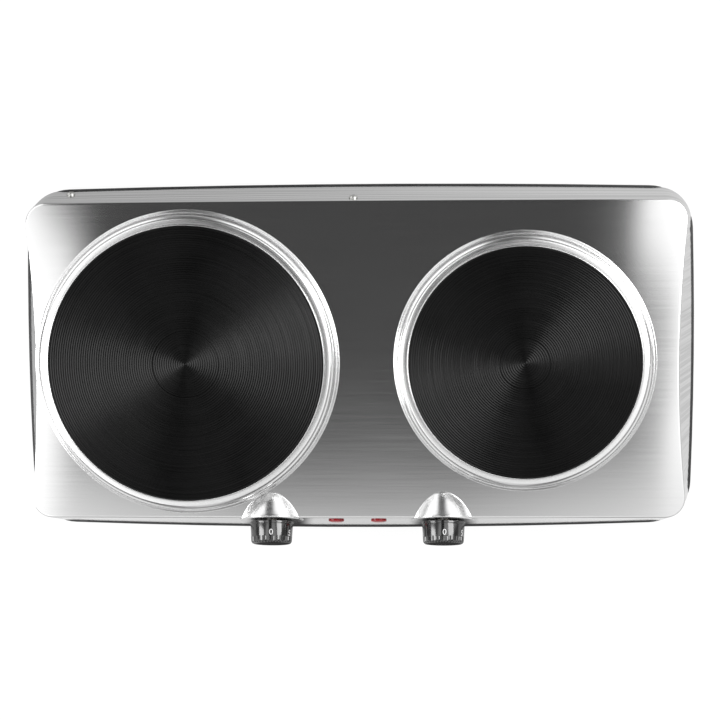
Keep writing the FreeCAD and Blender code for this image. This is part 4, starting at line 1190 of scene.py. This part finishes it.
@dataclass(frozen=True)
class Lamp:
    """A soft lamp that faces a plate from nearby.

    It is turned by degrees from +X towards the back and tipped by degrees from straight up. Its sizes are
    in metres, and at level 1 it is white.
    """

    side: Side
    turn: float
    tip: float
    wide: float
    high: float
    level: float
    distance: float = 0.7

    def hang(self) -> None:
        """Hang the lamp."""
        name = f"{self.side.value}_lamp"
        data = bpy.data.lights.new(name, "AREA")
        data.shape = "RECTANGLE"
        data.size = self.wide
        data.size_y = self.high
        data.energy = self.level * math.pi * self.wide * self.high
        lamp = bpy.data.objects.new(name, data)
        plate = Vector((self.side.sign * LAYOUT.plate_spacing / 2.0, LAYOUT.line_y, LAYOUT.plate_top))
        turn = Matrix.Rotation(math.radians(self.turn - 90.0), 4, "Z")
        tip = Matrix.Rotation(math.radians(-self.tip), 4, "X")
        lamp.matrix_world = (Matrix.Translation(plate * MM) @ turn @ tip
                             @ Matrix.Translation((0.0, 0.0, self.distance)))
        bpy.context.scene.collection.objects.link(lamp)


@dataclass
class Sky:
    """A white tent with a dark gap overhead.

    A span is where a change starts and ends: along the slope of a direction across or back, or along one
    part of the direction itself.
    """

    white: float = 1.6
    near_right: float = 1.14
    side_light: float = 0.35
    dark: float = 0.07
    haze: float = 0.1
    front_light: float = 0.8
    front_top: float = 1.05
    low_front: float = 0.35
    low_corner: float = 1.0
    low_back: float = 1.5
    low_side: float = 0.2
    stripe: float = 0.1
    glow: Span = (0.6, 0.15)
    left_edge: float = -0.188
    left_slant: float = 0.85
    left_soft: float = 0.011
    left_draw: float = 0.0224
    draws_from: float = -0.2
    right_edge: float = 0.083
    right_slant: float = 0.33
    right_soft: float = 0.006
    right_steps: Span = (0.02, 0.026)
    near_step: Span = (-0.16, -0.12)
    far_step: Span = (-0.078, -0.05)
    widens_at: float = -0.06
    widens_to: float = 0.03
    half_middle: float = 0.05
    front_curve: float = 0.25
    front_power: float = 4.0
    front_span: Span = (-0.21, -0.10)
    front_fall: Span = (-0.5, -0.23)
    gap_span: Span = (0.6, 0.95)
    glow_span: Span = (-0.03, 0.0)
    glow_fade: Span = (-0.075, -0.05)
    side_span: Span = (0.2, 0.5)
    near_side: Span = (0.0, 0.02)
    near_span: Span = (-0.185, -0.15)
    tent_span: Span = (0.78, 0.88)
    stripe_left: Span = (-0.32, -0.28)
    stripe_right: Span = (0.0, 0.3)
    ends_span: Span = (0.12, 0.3)
    flank_span: Span = (0.78, 0.92)
    corner_span: Span = (0.15, 0.45)
    low_span: Span = (-0.2, 0.1)
    rise_span: Span = (0.0, 0.2)
    rise: float = 0.12
    level_span: Span = (0.35, 0.55)

    def overhead(self, nodes: Shading, way: Sequence[NodeSocket]) -> NodeSocket:
        """Light the upper part: two white boxes and the gap between them.

        Args:
            nodes: Nodes of the sky.
            way: Parts of the direction along X, Y and Z.

        Returns:
            The brightness.
        """
        up = nodes.sum("MAXIMUM", way[2], 0.02)
        across = nodes.sum("DIVIDE", way[0], up)
        back = nodes.sum("DIVIDE", way[1], up)
        behind = nodes.sum("MAXIMUM", nodes.sum("SUBTRACT", back, self.widens_at), 0.0)
        behind = nodes.sum("MINIMUM", behind, self.widens_to)
        retreat = nodes.sum("MULTIPLY", behind, self.left_slant)
        draw = nodes.ramp(back, self.draws_from, self.widens_at, self.left_draw, 0.0, smooth=False)
        inwards = nodes.sum("ADD", across, nodes.sum("ADD", retreat, draw))
        left = nodes.sum("SUBTRACT", self.left_edge, inwards)
        step = nodes.ramp(back, *self.far_step, nodes.ramp(back, *self.near_step, *self.right_steps), 0.0)
        bound = nodes.sum("ADD", self.right_edge, nodes.sum("MULTIPLY", behind, self.right_slant))
        right = nodes.sum("SUBTRACT", across, nodes.sum("ADD", bound, step))
        boxes = nodes.sum("MAXIMUM", nodes.ramp(left, -self.left_soft, self.left_soft),
                          nodes.ramp(right, -self.right_soft, self.right_soft))
        gap = nodes.ramp(way[2], *self.gap_span, self.haze, self.dark)
        glow = nodes.ramp(right, *self.glow_span, gap, nodes.ramp(back, *self.glow_fade, *self.glow))
        middle = nodes.sum("ABSOLUTE", nodes.sum("ADD", across, self.half_middle))
        off_middle = nodes.sum("MAXIMUM", nodes.sum("SUBTRACT", middle, self.half_middle), 0.0)
        nearer = nodes.sum("SUBTRACT", back, nodes.sum("MULTIPLY", off_middle, self.front_curve))
        front = nodes.ramp(nearer, *self.front_span, 1.0, 0.0, smooth=False)
        fall = nodes.ramp(back, *self.front_fall, self.front_light, self.front_top)
        front = nodes.sum("MULTIPLY", nodes.sum("POWER", front, self.front_power), fall)
        sideways = nodes.ramp(nodes.sum("ABSOLUTE", way[0]), *self.side_span, self.haze, self.side_light)
        near = nodes.ramp(across, *self.near_side, self.white, self.near_right)
        near = nodes.ramp(back, *self.near_span, near, self.white)
        tent = nodes.ramp(way[2], *self.tent_span, sideways, near)
        return nodes.ramp(boxes, 0.0, 1.0, nodes.sum("MAXIMUM", glow, front), tent, smooth=False)

    def below(self, nodes: Shading, way: Sequence[NodeSocket]) -> NodeSocket:
        """Light the lower part, near the horizon.

        Args:
            nodes: Nodes of the sky.
            way: Parts of the direction along X, Y and Z.

        Returns:
            The brightness.
        """
        sidewards = nodes.sum("ABSOLUTE", way[0])
        beside = nodes.sum("MAXIMUM", nodes.ramp(way[0], *self.stripe_right),
                           nodes.ramp(way[0], *self.stripe_left, 1.0, 0.0))
        ends = nodes.ramp(way[1], *self.ends_span, self.low_side, self.low_back)
        flanks = nodes.ramp(sidewards, *self.flank_span, self.low_back, ends)
        fore = nodes.ramp(sidewards, *self.corner_span, self.low_front, self.low_corner)
        aft = nodes.ramp(beside, 0.0, 1.0, self.stripe, flanks)
        return nodes.ramp(way[1], *self.low_span, fore, aft)

    def build(self) -> None:
        """Light the scene, and show the camera plain white."""
        world = bpy.data.worlds.new("studio")
        bpy.context.scene.world = world
        world.use_nodes = True
        nodes = Shading(world.node_tree)
        ray = nodes.add("ShaderNodeTexCoord").outputs["Generated"]
        way = nodes.add("ShaderNodeSeparateXYZ", {"Vector": ray}).outputs[:3]
        rise = nodes.ramp(way[1], *self.rise_span, 0.0, self.rise)
        level = nodes.ramp(nodes.sum("SUBTRACT", way[2], rise), *self.level_span,
                           self.below(nodes, way), self.overhead(nodes, way))
        rays = nodes.add("ShaderNodeLightPath")
        seen = nodes.ramp(rays.outputs["Is Camera Ray"], 0.0, 1.0, level, 1.0, smooth=False)
        nodes.dress(world.node_tree.nodes["Background"], {"Strength": seen, "Color": grey(1.0)})


@dataclass
class Floor:
    """A white floor that keeps a soft shadow.

    Mirrors see it with painted shade instead: dimmer beside the hot plate, and a painted shadow under the
    knobs.
    """

    size: float = 6.0
    drop: float = 0.0002
    paper: float = 0.9
    glow: float = 1.06
    glow_share: float = 0.85
    # Painted shadow under the knobs, seen only in mirrors.
    patch: float = 0.08
    patch_span: Span = (0.014, 0.026)
    # Brightness of the painted shade that mirrors see ahead of, beside and past the hot plate.
    ahead: Span = (0.75, 0.92)
    ahead_span: Span = (0.08, 0.2)
    along: Span = (0.48, 0.68)
    along_span: Span = (-0.2, 0.2)
    past: float = 0.74
    past_span: Span = (0.222, 0.236)
    front_span: Span = (-0.125, -0.07)

    def mirrored(self, nodes: Shading) -> NodeSocket:
        """Find the painted shade that mirrors see on the floor.

        Args:
            nodes: Nodes of the floor.

        Returns:
            The brightness.
        """
        # Mirrors see painted shade: a painted shadow under the knobs, and a dimmer floor beside and behind
        # the hot plate.
        x, y = nodes.add("ShaderNodeSeparateXYZ", {"Vector": nodes.object_spot()}).outputs[:2]
        sidewards = nodes.sum("ABSOLUTE", x)
        off_knob = nodes.sum("ABSOLUTE", nodes.sum("SUBTRACT", sidewards, LAYOUT.knob_x * MM))
        painted_knob_shadow = nodes.ramp(off_knob, *self.patch_span, self.patch, 1.0)
        ahead = nodes.sum("MULTIPLY", painted_knob_shadow, nodes.ramp(sidewards, *self.ahead_span, *self.ahead))
        along = nodes.ramp(x, *self.along_span, *self.along)
        return nodes.ramp(y, *self.front_span, ahead, nodes.ramp(x, *self.past_span, along, self.past))

    def material(self) -> Material:
        """Make the floor's material.

        Returns:
            The material.
        """
        nodes, material, shader = Shading.of_material("white_floor")
        nodes.tree.nodes.remove(shader)
        rays = nodes.add("ShaderNodeLightPath").outputs
        glossy = rays["Is Glossy Ray"]
        paper = nodes.add("ShaderNodeBsdfDiffuse", {"Color": grey(self.paper)})
        strength = nodes.ramp(glossy, 0.0, 1.0, self.glow, self.mirrored(nodes), smooth=False)
        glow = nodes.add("ShaderNodeEmission", {"Color": grey(1.0), "Strength": strength})
        seen = nodes.sum("MAXIMUM", rays["Is Camera Ray"], rays["Is Transmission Ray"])
        share = nodes.sum("MAXIMUM", nodes.sum("MULTIPLY", seen, self.glow_share), glossy)
        mixed = nodes.add("ShaderNodeMixShader", {0: share, 1: paper.outputs[0], 2: glow.outputs[0]})
        nodes.feed(nodes.tree.nodes["Material Output"].inputs["Surface"], mixed.outputs[0])
        return material

    def build(self) -> None:
        """Lay the floor."""
        mesh = bpy.data.meshes.new("floor")
        plane = bmesh.new()
        bmesh.ops.create_grid(plane, x_segments=1, y_segments=1, size=self.size,
                              matrix=Matrix.Translation((0.0, 0.0, -self.drop)))
        plane.to_mesh(mesh)
        plane.free()
        mesh.materials.append(self.material())
        floor = bpy.data.objects.new("floor", mesh)
        bpy.context.scene.collection.objects.link(floor)


@dataclass
class Studio:
    """Camera, sky, lamps and floor of the photograph."""

    pitch: float = 6.50
    yaw: float = -2.80
    roll: float = 0.18
    shift_x: float = -3.7
    shift_y: float = -2.65
    distance: float = 1331.5
    lens: float = 100.0
    sensor: float = 36.0
    lamps: tuple[Lamp, ...] = (Lamp(Side.LEFT, 192.0, 52.0, 0.42, 0.4, 5.6),
                               Lamp(Side.RIGHT, 22.0, 42.0, 0.42, 0.36, 5.4))

    def camera(self) -> None:
        """Set the camera up."""
        roll = Matrix.Rotation(math.radians(self.roll), 3, "Z")
        yaw = Matrix.Rotation(math.radians(self.yaw), 3, "Y")
        turn = (roll @ yaw @ Matrix.Rotation(math.radians(self.pitch), 3, "X")).transposed()
        aim = Vector((0.0, LAYOUT.line_y, LAYOUT.plate_top))
        spot = aim + turn @ Vector((-self.shift_x, -self.shift_y, self.distance))
        data = bpy.data.cameras.new("photo_camera")
        data.lens = self.lens
        data.sensor_width = self.sensor
        data.clip_start = 0.01
        camera = bpy.data.objects.new("photo_camera", data)
        camera.matrix_world = Matrix.Translation(spot * MM) @ turn.to_4x4()
        bpy.context.scene.collection.objects.link(camera)
        bpy.context.scene.camera = camera

    def build(self) -> None:
        """Set the studio up."""
        bpy.context.scene.view_settings.view_transform = "Standard"
        self.camera()
        Sky().build()
        for lamp in self.lamps:
            lamp.hang()
        Floor().build()


def slot_finishes() -> dict[str, Material]:
    """Make the finishes of the nodes that keep their solids, by material slot.

    Returns:
        The materials.
    """
    finishes = [
        ("bright_steel", Moulding("bright_steel", (0.8, 0.8, 0.79), 0.2, 0.05, 900.0, 0.05, 0.5, 1.0)),
        ("base_black", Moulding("base_paint", (0.022, 0.022, 0.023), 0.42, 0.15, 1600.0, 0.2)),
        ("rubber_black", Moulding("foot_rubber", (0.02, 0.02, 0.02), 0.7, 0.2, 2200.0, 0.3)),
        ("zinc_steel", Moulding("zinc_plate", (0.6, 0.6, 0.58), 0.3, 0.08, 700.0, 0.08, 0.5, 1.0)),
        ("coil_steel", Moulding("oxidised_steel", (0.3, 0.28, 0.26), 0.45, 0.2, 900.0, 0.1, 0.5, 1.0)),
        ("cover_steel", Moulding("aluminised_sheet", (0.6, 0.6, 0.59), 0.35, 0.1, 400.0, 0.1, 0.5, 1.0)),
        ("ceramic", Moulding("steatite", (0.8, 0.76, 0.68), 0.6, 0.06, 1500.0, 0.2)),
        ("brass", Moulding("brass", (0.72, 0.55, 0.27), 0.3, 0.08, 700.0, 0.06, 0.5, 1.0)),
        ("knob_black", Moulding("knob_plastic", (0.005, 0.005, 0.005), 0.12, 0.15, 1800.0, 0.02, 1.0,
                                bend=1.58)),
        ("index_black", Moulding("mark_plastic", (0.012, 0.012, 0.012), 0.3, 0.15, 1800.0, 0.03)),
        ("lens_red", ClearPlastic("red_lens", (0.62, 0.02, 0.03), 0.55, 0.08)),
        ("bulb_glass", ClearPlastic("bulb_glass", (0.95, 0.9, 0.85), 0.9, 0.03)),
        ("block_white", Moulding("white_block", (0.8, 0.8, 0.77), 0.45, 0.05, 900.0, 0.1)),
        ("wire_brown", Moulding("brown_wire", (0.22, 0.1, 0.05), 0.45, 0.1, 900.0, 0.08)),
        ("wire_black", Moulding("black_wire", (0.03, 0.03, 0.03), 0.45, 0.1, 900.0, 0.08)),
        ("wire_blue", Moulding("blue_wire", (0.06, 0.18, 0.5), 0.45, 0.1, 900.0, 0.08)),
        ("wire_green", Moulding("earth_wire_green", (0.28, 0.55, 0.08), 0.45, 0.1, 900.0, 0.08)),
    ]
    return {slot: finish.material() for slot, finish in finishes}


def main() -> None:
    """Build the hot plate, piece by piece."""
    logging.basicConfig(level=logging.INFO, format="%(name)s: %(message)s")
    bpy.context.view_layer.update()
    Studio().build()
    finishes = slot_finishes()
    white = Moulding("number_white", (0.82, 0.82, 0.82), 0.4, 0.03, 1500.0, 0.03).material()
    burners = [Burner(Side.LEFT, 185.0, 45.0), Burner(Side.RIGHT, 155.0, 34.0)]
    Housing().build(burners)
    for burner in burners:
        burner.build()
    for side in Side:
        Control(side, finishes["knob_black"], white).build()
        PilotLamp(side, finishes["lens_red"]).build()
    Underside(finishes["rubber_black"], finishes["zinc_steel"]).build()
    kept = {part["node"]: part["material_slot"] for part in frame["record"]["subparts"]}
    shown = {node: slot for node, slot in kept.items() if slot in finishes}
    InnerWorks().dress(finishes, shown)


if __name__ == "__main__":
    main()
